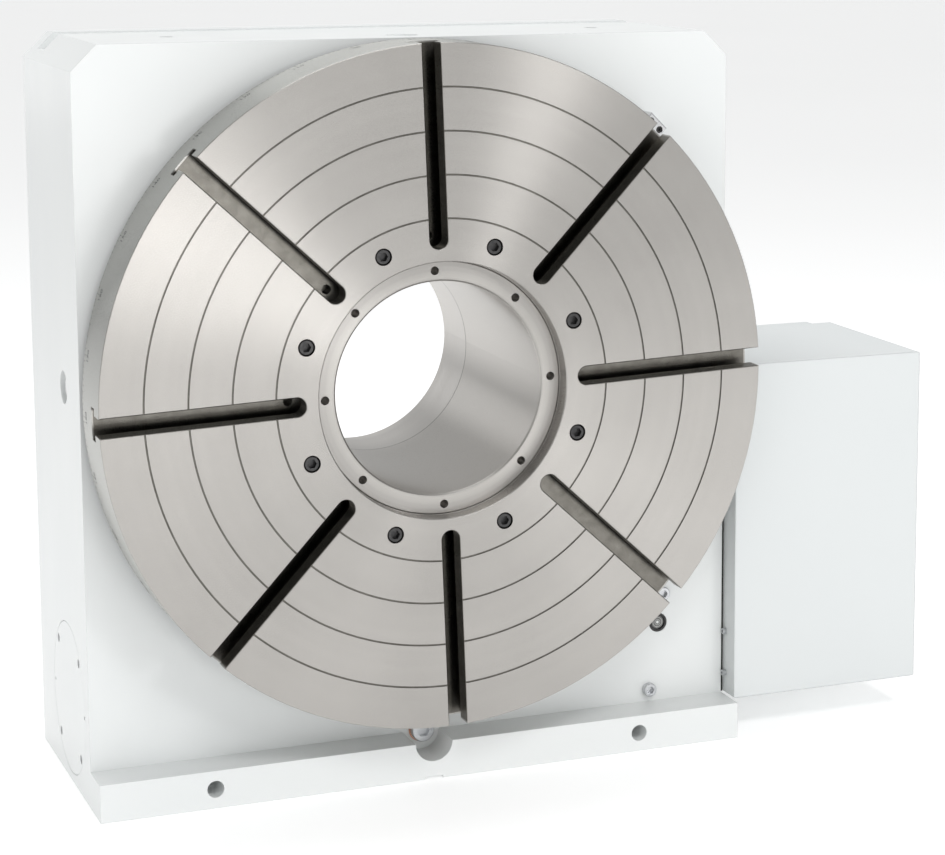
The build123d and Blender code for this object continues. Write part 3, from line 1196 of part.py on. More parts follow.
def make_cover_bracket():
    """Angle that ties the cover's front lip to the housing."""
    z0 = BRACKET_SCREW_HEIGHT - BRACKET_SCREW_SPACING / 3
    z1 = BRACKET_SCREW_HEIGHT + BRACKET_SCREW_SPACING * 4 / 3
    foot_front = -(DRIVE_PLATE_HALF_WIDTH + BRACKET_FOOT)
    arm = cover_left + COVER_SHEET
    bracket = block(half_width, arm + 4, foot_front, foot_front + BRACKET_FOOT - 2, z0, z1)
    bracket += block(arm, arm + 4, -COVER_FRONT + 8, foot_front, z0, z1)
    hole = SHEET_SCREW / 2 + THREAD_PLAY
    holes = [rod_x(hole, half_width - 1, arm + 5, y, z) for y, z in bracket_screw_spots()]
    holes += [rod_x(SHEET_SCREW / 2 + THREAD_PLAY, arm - 1, arm + 5, y, z) for y, z in lip_screw_spots()]
    return bracket - holes


def lip_screw_spots():
    y = -FRONT_DEPTH - SHEET_SCREW - 2
    return [(y, BRACKET_SCREW_HEIGHT + z) for z in (0, BRACKET_SCREW_SPACING)]


def make_cover_screws():
    """Screws through the cover's lips and the bracket."""
    arm = cover_left + COVER_SHEET
    screws = [facing_left(cover_left, y, z) * cap_screw(SHEET_SCREW, 9.0) for y, z in lip_screw_spots()]
    screws += [facing_right(arm + 4, y, z) * cap_screw(SHEET_SCREW, 22.0) for y, z in bracket_screw_spots()]
    screws += [facing_right(arm, y, z) * cap_screw(SHEET_SCREW, 18.0) for y, z in top_lip_screw_spots()]
    return screws


# ---- Small fittings --------------------------------------------------------
def make_valve_block():
    half = VALVE_SIZE / 2
    right = half_width + VALVE_SIZE
    front, back = VALVE_Y - half, VALVE_Y + half
    body = block(half_width, right, front, back, VALVE_HEIGHT - half, VALVE_HEIGHT + half)
    body = chamfer(body.edges().filter_by(Axis.X), 2.0)
    hole = SHEET_SCREW / 2 + THREAD_PLAY
    holes = [rod_x(hole, half_width - 1, right, y, z) for y, z in valve_screw_spots()]
    seat = half_width + fitting_screw_length - FITTING_SCREW_ENGAGEMENT
    holes += [
        rod_x(FITTING_SCREW * 0.75 + 0.5, seat, right + 1, y, z) for y, z in valve_screw_spots()
    ]
    holes.append(rod_x(GALLERY_RADIUS, half_width - 1, half_width + VALVE_SIZE / 2, VALVE_Y, VALVE_HEIGHT))
    return body - holes


def make_valve_coil():
    start = half_width + VALVE_SIZE
    coil = rod_x(VALVE_SIZE * 0.3, start, start + 48, VALVE_Y, VALVE_HEIGHT)
    coil += rod_x(VALVE_SIZE * 0.12, start + 48, start + 56, VALVE_Y, VALVE_HEIGHT)
    plug = block(start + 10, start + 38, VALVE_Y - 14, VALVE_Y + 14, VALVE_HEIGHT + 14, VALVE_HEIGHT + 44)
    return coil + chamfer(plug.edges().group_by(Axis.Z)[-1], 3.0)


def make_home_sensor():
    """Cylindrical switch screwed through the housing's side."""
    sensor = rod_x(SENSOR_RADIUS, SENSOR_TIP, half_width + 12, SENSOR_Y, sensor_height)
    nut = Pos(half_width, SENSOR_Y, sensor_height) * Rot(0, 90, 0) * hexagon_prism(SENSOR_RADIUS * 3, 5)
    sensor += nut
    return sensor + rod_x(SENSOR_RADIUS - 1.5, half_width + 12, half_width + 20, SENSOR_Y, sensor_height)


def make_sight_bezel():
    front = -FRONT_DEPTH
    sight = oil_places()[2]
    bezel = rod_y(SIGHT_RADIUS, front + 0.5, front + SIGHT_DEPTH, *sight)
    bezel -= rod_y(SIGHT_RADIUS - 2.5, front, front + 3, *sight)
    bezel -= rod_y(SIGHT_RADIUS - 4.0, front, front + SIGHT_DEPTH + 1, *sight)
    return bezel


def make_sight_glass():
    front = -FRONT_DEPTH
    sight = oil_places()[2]
    glass = rod_y(SIGHT_RADIUS - 4.0 - FIT, front + 1.5, front + SIGHT_DEPTH - 1, *sight)
    return glass


def hex_plug(radius, head, thread, depth, across):
    """Socket plug whose seat is at the origin and whose head looks along +Z."""
    plug = Cylinder(radius, head, align=(Align.CENTER, Align.CENTER, Align.MIN))
    plug = chamfer(plug.edges().filter_by(GeomType.CIRCLE).sort_by(Axis.Z)[-1], head * 0.12)
    plug += Pos(0, 0, -depth) * Cylinder(thread, depth, align=(Align.CENTER, Align.CENTER, Align.MIN))
    return plug - Pos(0, 0, head * 0.3) * hexagon_prism(across, head)


def make_oil_plugs():
    plug = hex_plug(PLUG_RADIUS, PLUG_HEAD, PLUG_THREAD, PLUG_HEAD * 1.6, PLUG_RADIUS)
    plugs = [facing_front(x, -FRONT_DEPTH, z) * plug for x, z in oil_places()[:2]]
    return plugs + [facing_rear(half_width - GALLERY_INSET, REAR_DEPTH - PLUG_HEAD - 1, VALVE_HEIGHT) * plug]


def make_front_port_plug():
    seat = -FRONT_DEPTH - FRONT_PORT_WASHER
    plug = hex_plug(FRONT_PORT_RADIUS, 9.0, FRONT_PORT_THREAD, 17.0, FRONT_PORT_RADIUS)
    return facing_front(0, seat, FRONT_PORT_HEIGHT) * plug


def make_front_port_washer():
    front = -FRONT_DEPTH
    outer = FRONT_PORT_RADIUS + 1.5
    washer = rod_y(outer, front - FRONT_PORT_WASHER, front, 0, FRONT_PORT_HEIGHT)
    return washer - rod_y(FRONT_PORT_THREAD + FIT, front - 5, front + 1, 0, FRONT_PORT_HEIGHT)


def make_side_port_plug():
    seat = -half_width + SIDE_POCKET_DEPTH
    plug = extrude(RegularPolygon(SIDE_PLUG_RADIUS * 0.78, 6, major_radius=False), 9.0)
    plug += extrude(Circle(SIDE_PLUG_RADIUS + 2), 2.5)
    plug += Pos(0, 0, -16) * Cylinder(
        SIDE_PLUG_RADIUS - 3 - THREAD_PLAY, 16, align=(Align.CENTER, Align.CENTER, Align.MIN)
    )
    return facing_left(seat, SIDE_PORT_Y, axis_height) * plug


def index_screw_spots():
    radius = table_radius + INDEX_GAP + INDEX_HEIGHT / 2
    points = []
    for offset in (-INDEX_HALF_WIDTH * 0.55, INDEX_HALF_WIDTH * 0.55):
        along, across = radius * math.sqrt(0.5), offset * math.sqrt(0.5)
        points.append((along - across, axis_height + along + across))
    return points


def make_index_block():
    """Pointer beside the faceplate's rim, on the diagonal at the upper right."""
    inner = table_radius + INDEX_GAP
    half = INDEX_HALF_WIDTH
    back = -FRONT_DEPTH
    tip = back - INDEX_REACH
    body = block(inner, inner + INDEX_HEIGHT, tip, back, axis_height - half, axis_height + half)
    body = chamfer(body.edges().group_by(Axis.Y)[0], 1.5)
    body -= block(inner - 1, inner + 1.0, tip - 1, back + 1, axis_height - 0.4, axis_height + 0.4)
    low, high = axis_height - INDEX_LINE / 2, axis_height + INDEX_LINE / 2
    body -= block(inner - 1, inner + INDEX_HEIGHT + 1, tip - 1, tip + INDEX_LINE_DEPTH, low, high)
    axis = Axis((0, 0, axis_height), (0, -1, 0))
    body = body.rotate(axis, 45)
    cuts = []
    for x, z in index_screw_spots():
        cuts.append(rod_y(SHEET_SCREW / 2 + THREAD_PLAY, tip - 1, back + 1, x, z))
        cuts.append(rod_y(SHEET_SCREW * 0.75 + 0.4, tip - 1, tip + SHEET_SCREW + 1, x, z))
    return body - cuts


def make_fitting_screws():
    """Identical screws that hold the index block and the clamp valve."""
    screw = cap_screw(FITTING_SCREW, fitting_screw_length)
    above = fitting_screw_length - FITTING_SCREW_ENGAGEMENT
    screws = [facing_front(x, -FRONT_DEPTH - above, z) * screw for x, z in index_screw_spots()]
    return screws + [facing_right(half_width + above, y, z) * screw for y, z in valve_screw_spots()]


def socket_spots():
    return [(cover_right - 70, cover_top - 90), (cover_right - 140, cover_top - 90)]


def inlet_spot():
    return cover_right - 105, cover_top - 150


def make_cable_sockets():
    """Round panel sockets on the rear box; their cables are not part of this unit."""
    sockets = []
    for x, z in socket_spots():
        flange = block(x - 17, x + 17, COVER_REAR, COVER_REAR + 3, z - 17, z + 17)
        flange = fillet(flange.edges().filter_by(Axis.Y), 4.0)
        socket = flange + rod_y(SOCKET_RADIUS - 0.2, COVER_REAR - 12, COVER_REAR + 14, x, z)
        socket -= rod_y(SOCKET_RADIUS - 2.5, COVER_REAR + 2, COVER_REAR + 15, x, z)
        socket += rod_y(2.0, COVER_REAR + 1, COVER_REAR + 10, x, z)
        for k in range(6):
            angle = math.radians(60 * k)
            pin_x, pin_z = x + 6.5 * math.cos(angle), z + 6.5 * math.sin(angle)
            socket += rod_y(1.2, COVER_REAR + 1, COVER_REAR + 10, pin_x, pin_z)
        sockets.append(socket)
    return sockets


def make_oil_inlet():
    x, z = inlet_spot()
    fitting = rod_y(INLET_RADIUS - 0.2, COVER_REAR - 12, COVER_REAR + 2, x, z)
    hexagon = facing_rear(x, COVER_REAR, z) * hexagon_prism(INLET_RADIUS * 2.6, 6)
    fitting += hexagon + rod_y(INLET_RADIUS, COVER_REAR + 5, COVER_REAR + 14, x, z)
    return fitting - rod_y(INLET_RADIUS - 3, COVER_REAR - 13, COVER_REAR + 15, x, z)


# ---- Nodes -----------------------------------------------------------------
groove = roller_groove()
save("housing", make_housing())
save("rear_cover", make_rear_cover())
save("rear_cover_screws", make_rear_cover_screws())
save("front_seal", lip_seal(flange_radius + LOOSE, front_opening - FIT, -FRONT_DEPTH + 2, -FRONT_DEPTH + 14))
rear_seal_outer = journal_radius + SEAL_SPACE - FIT
rear_seal_back = rear_cover_back - 2
save("rear_seal", lip_seal(journal_radius + LOOSE, rear_seal_outer, rear_cover_front + 1, rear_seal_back))
save("main_bearing_outer_ring", make_outer_ring(groove))
save("main_bearing_screws", make_bearing_screws())
save("brake_ring", make_brake_ring())
save("brake_cylinder", make_brake_cylinder())
save("brake_screws", make_brake_screws())
save("worm_end_cover", make_worm_end_cover())
save("worm_end_cover_screws", make_worm_end_cover_screws())
save("worm_bearing_cups", [make_bearing_cup(), mirrored(make_bearing_cup())])
save("drive_plate", make_drive_plate())
save("drive_plate_screws", make_drive_plate_screws())
save("motor_body", make_motor_body())
save("motor_end_cap", make_motor_end_cap())
save("motor_screws", make_motor_screws())
save("motor_cover_front", make_cover_front())
save("motor_cover_rear", make_cover_rear())
save("motor_cover_gasket", make_cover_gasket())
save("motor_cover_seal", make_cover_seal())
save("motor_cover_bracket", make_cover_bracket())
save("motor_cover_screws", make_cover_screws())
save("clamp_valve_block", make_valve_block())
save("clamp_valve_coil", make_valve_coil())
save("home_sensor", make_home_sensor())
save("oil_sight_bezel", make_sight_bezel())
save("oil_sight_glass", make_sight_glass())
save("oil_plugs", make_oil_plugs())
save("front_port_plug", make_front_port_plug())
save("front_port_washer", make_front_port_washer())
save("side_port_plug", make_side_port_plug())
save("index_block", make_index_block())
save("fitting_screws", make_fitting_screws())
save("cable_sockets", make_cable_sockets())
save("clamp_oil_inlet", make_oil_inlet())

save("faceplate", make_faceplate())
save("faceplate_screws", make_faceplate_screws())
save("spindle", make_spindle())
save("spindle_flange_screws", make_spindle_flange_screws())
save("rear_sleeve", make_rear_sleeve())
save("rear_sleeve_screws", make_rear_sleeve_screws())
save("main_bearing_inner_ring", make_inner_ring(groove))
save("worm_wheel", make_worm_wheel())
save("worm_wheel_screws", make_worm_wheel_screws())
save("brake_disc", make_brake_disc())
save("brake_disc_screws", make_brake_disc_screws())
save("home_dog", make_home_dog())

save("main_bearing_rollers", make_rollers())
save("main_bearing_cage", make_cage())

save("worm_shaft", make_worm_shaft())
save("worm_bearing_cones", [make_bearing_cone(), mirrored(make_bearing_cone())])
right_rollers = make_bearing_rollers()
save("worm_bearing_rollers", right_rollers + [mirrored(r) for r in right_rollers])
save("worm_locknuts", make_locknuts())
save("driven_gear", make_driven_gear())

save("motor_shaft", make_motor_shaft())
save("motor_pinion", make_pinion())

save("brake_piston", make_piston())
save("piston_seals", make_piston_seals())
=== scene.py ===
import json
import math

import bmesh
import bpy
from mathutils import Matrix, Vector


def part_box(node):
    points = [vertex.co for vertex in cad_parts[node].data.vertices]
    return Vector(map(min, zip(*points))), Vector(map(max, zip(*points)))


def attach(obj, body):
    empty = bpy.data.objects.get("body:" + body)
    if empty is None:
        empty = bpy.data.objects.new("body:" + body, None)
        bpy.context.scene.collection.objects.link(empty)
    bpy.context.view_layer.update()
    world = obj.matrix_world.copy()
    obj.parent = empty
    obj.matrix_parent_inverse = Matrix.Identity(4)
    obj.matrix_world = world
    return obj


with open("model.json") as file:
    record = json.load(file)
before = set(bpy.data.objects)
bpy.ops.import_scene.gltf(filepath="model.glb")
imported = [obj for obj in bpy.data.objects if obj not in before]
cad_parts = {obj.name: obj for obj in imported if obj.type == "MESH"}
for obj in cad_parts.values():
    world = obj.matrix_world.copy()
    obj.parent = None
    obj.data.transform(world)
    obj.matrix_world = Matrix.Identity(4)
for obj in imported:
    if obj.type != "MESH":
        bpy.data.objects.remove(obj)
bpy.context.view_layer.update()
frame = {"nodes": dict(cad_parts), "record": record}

NODES = frame["nodes"]
MM = 0.001
WORM_AXIS = 0           # the worm and the motor turn about X
SPINDLE_AXIS = 1        # the table turns about Y


# ---- Places taken from the frame --------------------------------------------
PLATE_LOW, PLATE_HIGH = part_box("faceplate")
AXIS_Z = (PLATE_LOW.z + PLATE_HIGH.z) / 2
PLATE_RADIUS = (PLATE_HIGH.z - PLATE_LOW.z) / 2
MOUNTS = {mount["name"]: mount for mount in frame["record"]["mounts"]}
SPINDLE_BORE = MOUNTS["spindle_bore"]["dims"]["r_mm"] * MM      # radius

# ---- Sizes that only the looks need -----------------------------------------
PARK_ANGLE = math.radians(1.9)      # the scale's zero stands this far past level
FLOOR_GAP = 0.1 * MM                # floor below the base face
FLOOR_REACH = 30.0
RING_STEP = 50 * MM                 # from one turned ring to the next
RING_ZONE = (190 * MM, 360 * MM)    # radii between which the rings lie
RING_HALF_WIDTH = 1.05 * MM
FACE_SKIN = 0.6 * MM                # deeper than this in the face, slots and counterbores get painted shade
SLOT_ZONE_START = 152 * MM          # just outside the centring recess
RIM_MARGIN = 2 * MM
RIM_SKIN = 1 * MM
BORE_SKIN = 0.5 * MM
SLEEVE_JOINT = 1.2 * MM             # dark line at the spindle's rear end
PLATE_ROUGHNESS = 0.285
QUARTER_TURN = 0.25                 # lays the highlight across the turning marks
SIGHT_RINGS = 6
SIGHT_CENTRE_SHARE = 1 / 9          # of the glass's width, as a radius
COVER_BEND = 3 * MM                 # softened edge of the folded sheet


# ---- Camera -----------------------------------------------------------------
CAMERA_PLACE = (-0.98115, -3.03506, 1.06572)
CAMERA_AZIMUTH = math.radians(-22.868)
CAMERA_ELEVATION = math.radians(8.813)
CAMERA_ROLL = math.radians(0.121)
CAMERA_LENS = 100.78        # mm, on a sensor SENSOR_WIDTH mm wide
SENSOR_WIDTH = 36.0
CAMERA_SHIFT = -0.15
CAMERA_CLIP_END = 50.0


def make_camera():
    data = bpy.data.cameras.new("camera")
    data.sensor_fit = "HORIZONTAL"
    data.sensor_width = SENSOR_WIDTH
    data.lens = CAMERA_LENS
    data.shift_x = CAMERA_SHIFT
    data.shift_y = CAMERA_SHIFT
    data.clip_end = CAMERA_CLIP_END
    camera = bpy.data.objects.new("camera", data)
    back = Vector((
        math.sin(CAMERA_AZIMUTH) * math.cos(CAMERA_ELEVATION),
        -math.cos(CAMERA_AZIMUTH) * math.cos(CAMERA_ELEVATION),
        math.sin(CAMERA_ELEVATION),
    ))
    level = Vector((0, 0, 1)).cross(back).normalized()
    right = Matrix.Rotation(CAMERA_ROLL, 3, back) @ level
    up = back.cross(right)
    place = Matrix((right, up, back)).transposed().to_4x4()
    place.translation = Vector(CAMERA_PLACE)
    camera.matrix_world = place
    bpy.context.scene.collection.objects.link(camera)
    bpy.context.scene.camera = camera


# ---- Material building blocks -----------------------------------------------
class Surface:
    """A Principled material with a few helpers to wire its nodes."""

    MIX_COLOR_INPUTS = (6, 7)       # the Mix node's sockets A and B when it mixes colors
    MIX_COLOR_OUTPUT = 2
    MIDDLE_HALF = (0.25, 0.75)      # where most of a noise's 0..1 lies

    def __init__(self, name, color, roughness, metallic=0.0):
        self.material = bpy.data.materials.new(name)
        self.material.use_nodes = True
        self.tree = self.material.node_tree
        self.shader = self.tree.nodes["Principled BSDF"]
        self.shader.inputs["Base Color"].default_value = (*color, 1)
        self.shader.inputs["Roughness"].default_value = roughness
        self.shader.inputs["Metallic"].default_value = metallic
        self.coordinates = self.node("ShaderNodeTexCoord").outputs["Object"]

    def node(self, kind, **settings):
        node = self.tree.nodes.new(kind)
        for key, value in settings.items():
            setattr(node, key, value)
        return node

    def link(self, source, target):
        self.tree.links.new(source, target)

    def value(self, name, amount):
        self.shader.inputs[name].default_value = amount

    def noise(self, scale, detail=4.0, roughness=0.55, stretch=(1, 1, 1)):
        mapping = self.node("ShaderNodeMapping")
        mapping.inputs["Scale"].default_value = stretch
        self.link(self.coordinates, mapping.inputs["Vector"])
        noise = self.node("ShaderNodeTexNoise")
        noise.inputs["Scale"].default_value = scale
        noise.inputs["Detail"].default_value = detail
        noise.inputs["Roughness"].default_value = roughness
        self.link(mapping.outputs["Vector"], noise.inputs["Vector"])
        return noise.outputs["Fac"]

    def ramp(self, source, low, high):
        """Maps the middle half of source's 0..1 to low..high, clamped outside it."""
        ramp = self.node("ShaderNodeMapRange")
        ramp.inputs["From Min"].default_value, ramp.inputs["From Max"].default_value = self.MIDDLE_HALF
        ramp.inputs["To Min"].default_value = low
        ramp.inputs["To Max"].default_value = high
        self.link(source, ramp.inputs["Value"])
        return ramp.outputs["Result"]

    def mix_colors(self, factor, first, second):
        """First color at factor 0, second at 1; either is a tuple or a socket."""
        mix = self.node("ShaderNodeMix", data_type="RGBA")
        for index, color in zip(self.MIX_COLOR_INPUTS, (first, second)):
            if isinstance(color, tuple):
                mix.inputs[index].default_value = (*color, 1)
            else:
                self.link(color, mix.inputs[index])
        self.link(factor, mix.inputs["Factor"])
        return mix.outputs[self.MIX_COLOR_OUTPUT]

    def vary_color(self, factor, first, second):
        self.link(self.mix_colors(factor, first, second), self.shader.inputs["Base Color"])

    def vary_roughness(self, factor, low, high):
        self.link(self.ramp(factor, low, high), self.shader.inputs["Roughness"])

    def bump(self, heights, edge_radius=0.0):
        """Chains (height, distance in metres, strength) into the normal, over softened edges."""
        normal = None
        if edge_radius:
            bevel = self.node("ShaderNodeBevel", samples=4)
            bevel.inputs["Radius"].default_value = edge_radius
            normal = bevel.outputs["Normal"]
        for height, distance, strength in heights:
            bump = self.node("ShaderNodeBump")
            bump.inputs["Distance"].default_value = distance
            bump.inputs["Strength"].default_value = strength
            self.link(height, bump.inputs["Height"])
            if normal is not None:
                self.link(normal, bump.inputs["Normal"])
            normal = bump.outputs["Normal"]
        self.link(normal, self.shader.inputs["Normal"])

    def axis_distance(self, axis, centre):
        """Distance from a line along axis (0, 1 or 2) through centre, and the place along it."""
        shift = self.node("ShaderNodeVectorMath", operation="SUBTRACT")
        shift.inputs[1].default_value = centre
        self.link(self.coordinates, shift.inputs[0])
        flat = [1.0, 1.0, 1.0]
        flat[axis] = 0.0
        squash = self.node("ShaderNodeVectorMath", operation="MULTIPLY")
        squash.inputs[1].default_value = flat
        self.link(shift.outputs["Vector"], squash.inputs[0])
        length = self.node("ShaderNodeVectorMath", operation="LENGTH")
        self.link(squash.outputs["Vector"], length.inputs[0])
        split = self.node("ShaderNodeSeparateXYZ")
        self.link(shift.outputs["Vector"], split.inputs["Vector"])
        return length.outputs["Value"], split.outputs[axis]

    def turned(self, anisotropy, axis):
        """Stretches the highlights as turning about axis (0, 1 or 2) does."""
        self.value("Anisotropic", anisotropy)
        self.value("Anisotropic Rotation", QUARTER_TURN)
        tangent = self.node("ShaderNodeTangent", direction_type="RADIAL", axis="XYZ"[axis])
        self.link(tangent.outputs["Tangent"], self.shader.inputs["Tangent"])

    def math(self, operation, first, second):
        node = self.node("ShaderNodeMath", operation=operation)
        for socket, source in zip(node.inputs, (first, second)):
            if isinstance(source, (int, float)):
                socket.default_value = source
            else:
                self.link(source, socket)
        return node.outputs["Value"]

    def between(self, value, low, high):
        """1 where value lies between low and high, and 0 elsewhere."""
        above = self.math("GREATER_THAN", value, low)
        below = self.math("LESS_THAN", value, high)
        return self.math("MULTIPLY", above, below)

    def ring_noise(self, distance, along, scale, detail):
        """Noise that changes only with the distance from an axis and along it: turning marks."""
        join = self.node("ShaderNodeCombineXYZ")
        self.link(distance, join.inputs["X"])
        self.link(along, join.inputs["Y"])
        noise = self.node("ShaderNodeTexNoise")
        noise.inputs["Scale"].default_value = scale
        noise.inputs["Detail"].default_value = detail
        self.link(join.outputs["Vector"], noise.inputs["Vector"])
        return noise.outputs["Fac"]


# ---- Paints -----------------------------------------------------------------
def housing_paint():
    """Satin white under a thin clear coat: faint orange peel and slight clouding."""
    s = Surface("housing_paint", (0.80, 0.815, 0.81), 0.38)
    s.value("Coat Weight", 0.25)
    s.value("Coat Roughness", 0.22)
    cloud = s.noise(2.2, 3.0)
    s.vary_color(s.ramp(cloud, 0.0, 1.0), (0.765, 0.785, 0.785), (0.80, 0.812, 0.806))
    smear = s.noise(18.0, 5.0, 0.6, (1, 1, 0.25))
    s.vary_roughness(smear, 0.33, 0.44)
    s.bump([(s.noise(420.0, 2.0), 0.00012, 0.35), (s.noise(60.0, 2.0), 0.0006, 0.05)], 0.0009)
    return s.material


def cover_paint():
    """Powder coat on sheet steel: finer and more even than the casting's paint."""
    s = Surface("cover_paint", (0.80, 0.82, 0.825), 0.42)
    s.value("Coat Weight", 0.15)
    s.value("Coat Roughness", 0.30)
    cloud = s.noise(1.6, 2.0)
    s.vary_color(s.ramp(cloud, 0.0, 1.0), (0.66, 0.685, 0.69), (0.695, 0.715, 0.715))
    s.vary_roughness(s.noise(12.0, 4.0), 0.38, 0.46)
    s.bump([(s.noise(900.0, 2.0), 0.00008, 0.4)], COVER_BEND)
    return s.material


# ---- Turned and ground metals -----------------------------------------------
def turned_metal(name, color, dark, roughness, anisotropy, axis, centre, mark_scale=1200.0):
    """Metal turned about an axis: anisotropic, with fine rings that differ slightly in tone."""
    s = Surface(name, color, roughness, 1.0)
    s.turned(anisotropy, axis)
    distance, along = s.axis_distance(axis, centre)
    fine = s.ring_noise(distance, along, mark_scale, 2.0)
    broad = s.ring_noise(distance, along, 90.0, 4.0)
    cloud = s.noise(6.0, 4.0)
    tone = s.math("ADD", s.ramp(broad, 0.0, 0.7), s.ramp(cloud, 0.0, 0.3))
    s.vary_color(tone, dark, color)
    s.vary_roughness(broad, roughness * 0.88, roughness * 1.12)
    s.bump([(fine, 0.00002, 0.1)], 0.0004)
    return s.material


def brushed_metal(name, color, dark, roughness, edge=0.0004):
    """General machined or plated steel with faint smears and a soft edge."""
    s = Surface(name, color, roughness, 1.0)
    smear = s.noise(55.0, 5.0, 0.6, (1, 1, 6))
    s.vary_color(s.ramp(smear, 0.0, 1.0), dark, color)
    s.vary_roughness(s.noise(120.0, 4.0), roughness * 0.8, roughness * 1.25)
    s.bump([(s.noise(1500.0, 2.0), 0.00003, 0.3)], edge)
    return s.material


def black_oxide():
    s = Surface("black_oxide", (0.09, 0.09, 0.092), 0.32, 0.9)
    wear = s.noise(260.0, 5.0, 0.65)
    s.vary_color(s.ramp(wear, 0.0, 0.55), (0.040, 0.040, 0.042), (0.115, 0.112, 0.108))
    s.vary_roughness(s.noise(400.0, 3.0), 0.26, 0.42)
    s.bump([(s.noise(1800.0, 2.0), 0.00003, 0.3)], 0.0003)
    return s.material


def raw_iron():
    """Machined grey iron with an oily film."""
    s = Surface("raw_iron", (0.24, 0.235, 0.23), 0.42, 0.85)
    cloud = s.noise(30.0, 5.0)
    s.vary_color(s.ramp(cloud, 0.0, 1.0), (0.19, 0.185, 0.18), (0.30, 0.295, 0.285))
    s.vary_roughness(s.noise(80.0, 4.0), 0.34, 0.52)
    s.bump([(s.noise(700.0, 3.0), 0.00008, 0.35)], 0.0005)
    return s.material


def cut_bronze(name, color, dark):
    s = Surface(name, color, 0.30, 1.0)
    cloud = s.noise(40.0, 5.0)
    s.vary_color(s.ramp(cloud, 0.0, 1.0), dark, color)
    s.vary_roughness(s.noise(150.0, 4.0), 0.24, 0.38)
    s.bump([(s.noise(900.0, 2.0, 0.5, (1, 8, 1)), 0.00005, 0.3)], 0.0004)
    return s.material


def rubber():
    s = Surface("black_rubber", (0.012, 0.012, 0.012), 0.7)
    s.vary_color(s.ramp(s.noise(90.0, 4.0), 0.0, 1.0), (0.009, 0.009, 0.009), (0.022, 0.022, 0.021))
    s.vary_roughness(s.noise(200.0, 3.0), 0.62, 0.8)
    s.bump([(s.noise(1600.0, 2.0), 0.00006, 0.4)], 0.0003)
    return s.material


def moulded_plastic():
    """Spark-eroded black moulding with a fine grain."""
    s = Surface("moulded_plastic", (0.02, 0.02, 0.022), 0.5)
    s.vary_color(s.ramp(s.noise(25.0, 3.0), 0.0, 1.0), (0.016, 0.016, 0.018), (0.030, 0.030, 0.032))
    s.vary_roughness(s.noise(300.0, 3.0), 0.42, 0.58)
    grain = s.node("ShaderNodeTexVoronoi")
    grain.inputs["Scale"].default_value = 1400.0
    s.link(s.coordinates, grain.inputs["Vector"])
    s.bump([(grain.outputs["Distance"], 0.00008, 0.3)], 0.0006)
    return s.material


def motor_coating():
    s = Surface("motor_coating", (0.03, 0.03, 0.033), 0.4, 0.3)
    s.vary_color(s.ramp(s.noise(20.0, 4.0), 0.0, 1.0), (0.022, 0.022, 0.025), (0.042, 0.042, 0.045))
    s.vary_roughness(s.noise(200.0, 3.0), 0.34, 0.5)
    s.bump([(s.noise(700.0, 3.0), 0.0001, 0.35)], 0.0008)
    return s.material


def anodised():
    s = Surface("anodised_aluminium", (0.62, 0.63, 0.65), 0.36, 1.0)
    s.vary_color(s.ramp(s.noise(35.0, 4.0), 0.0, 1.0), (0.57, 0.58, 0.60), (0.66, 0.67, 0.69))
    s.vary_roughness(s.noise(260.0, 3.0), 0.30, 0.42)
    s.bump([(s.noise(1300.0, 2.0), 0.00004, 0.35)], 0.0005)
    return s.material


def sight_glass():
    """Bull's-eye glass over oil: glossy, with concentric lens rings and a light centre."""
    low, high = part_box("oil_sight_glass")
    s = Surface("sight_glass", (0.30, 0.31, 0.30), 0.06)
    s.value("IOR", 1.5)
    s.value("Coat Weight", 1.0)
    s.value("Coat Roughness", 0.03)
    width = high.x - low.x
    distance, _ = s.axis_distance(SPINDLE_AXIS, (low + high) / 2)
    rings = s.math("SINE", s.math("MULTIPLY", distance, SIGHT_RINGS * math.tau / width), 0.0)
    centre = s.math("LESS_THAN", distance, width * SIGHT_CENTRE_SHARE)
    shade = s.mix_colors(s.ramp(rings, 0.0, 1.0), (0.10, 0.10, 0.095), (0.34, 0.34, 0.33))
    s.vary_color(centre, shade, (0.75, 0.76, 0.74))
    s.vary_roughness(s.noise(220.0, 3.0), 0.04, 0.10)
    s.bump([(rings, 0.0004, 0.5)])
    return s.material


def ink(name, color):
    s = Surface(name, color, 0.55)
    s.vary_color(s.ramp(s.noise(800.0, 3.0), 0.0, 1.0), color, tuple(c * 1.6 for c in color))
    s.vary_roughness(s.noise(900.0, 2.0), 0.45, 0.65)
    s.bump([(s.noise(2500.0, 2.0), 0.00002, 0.3)])
    return s.material


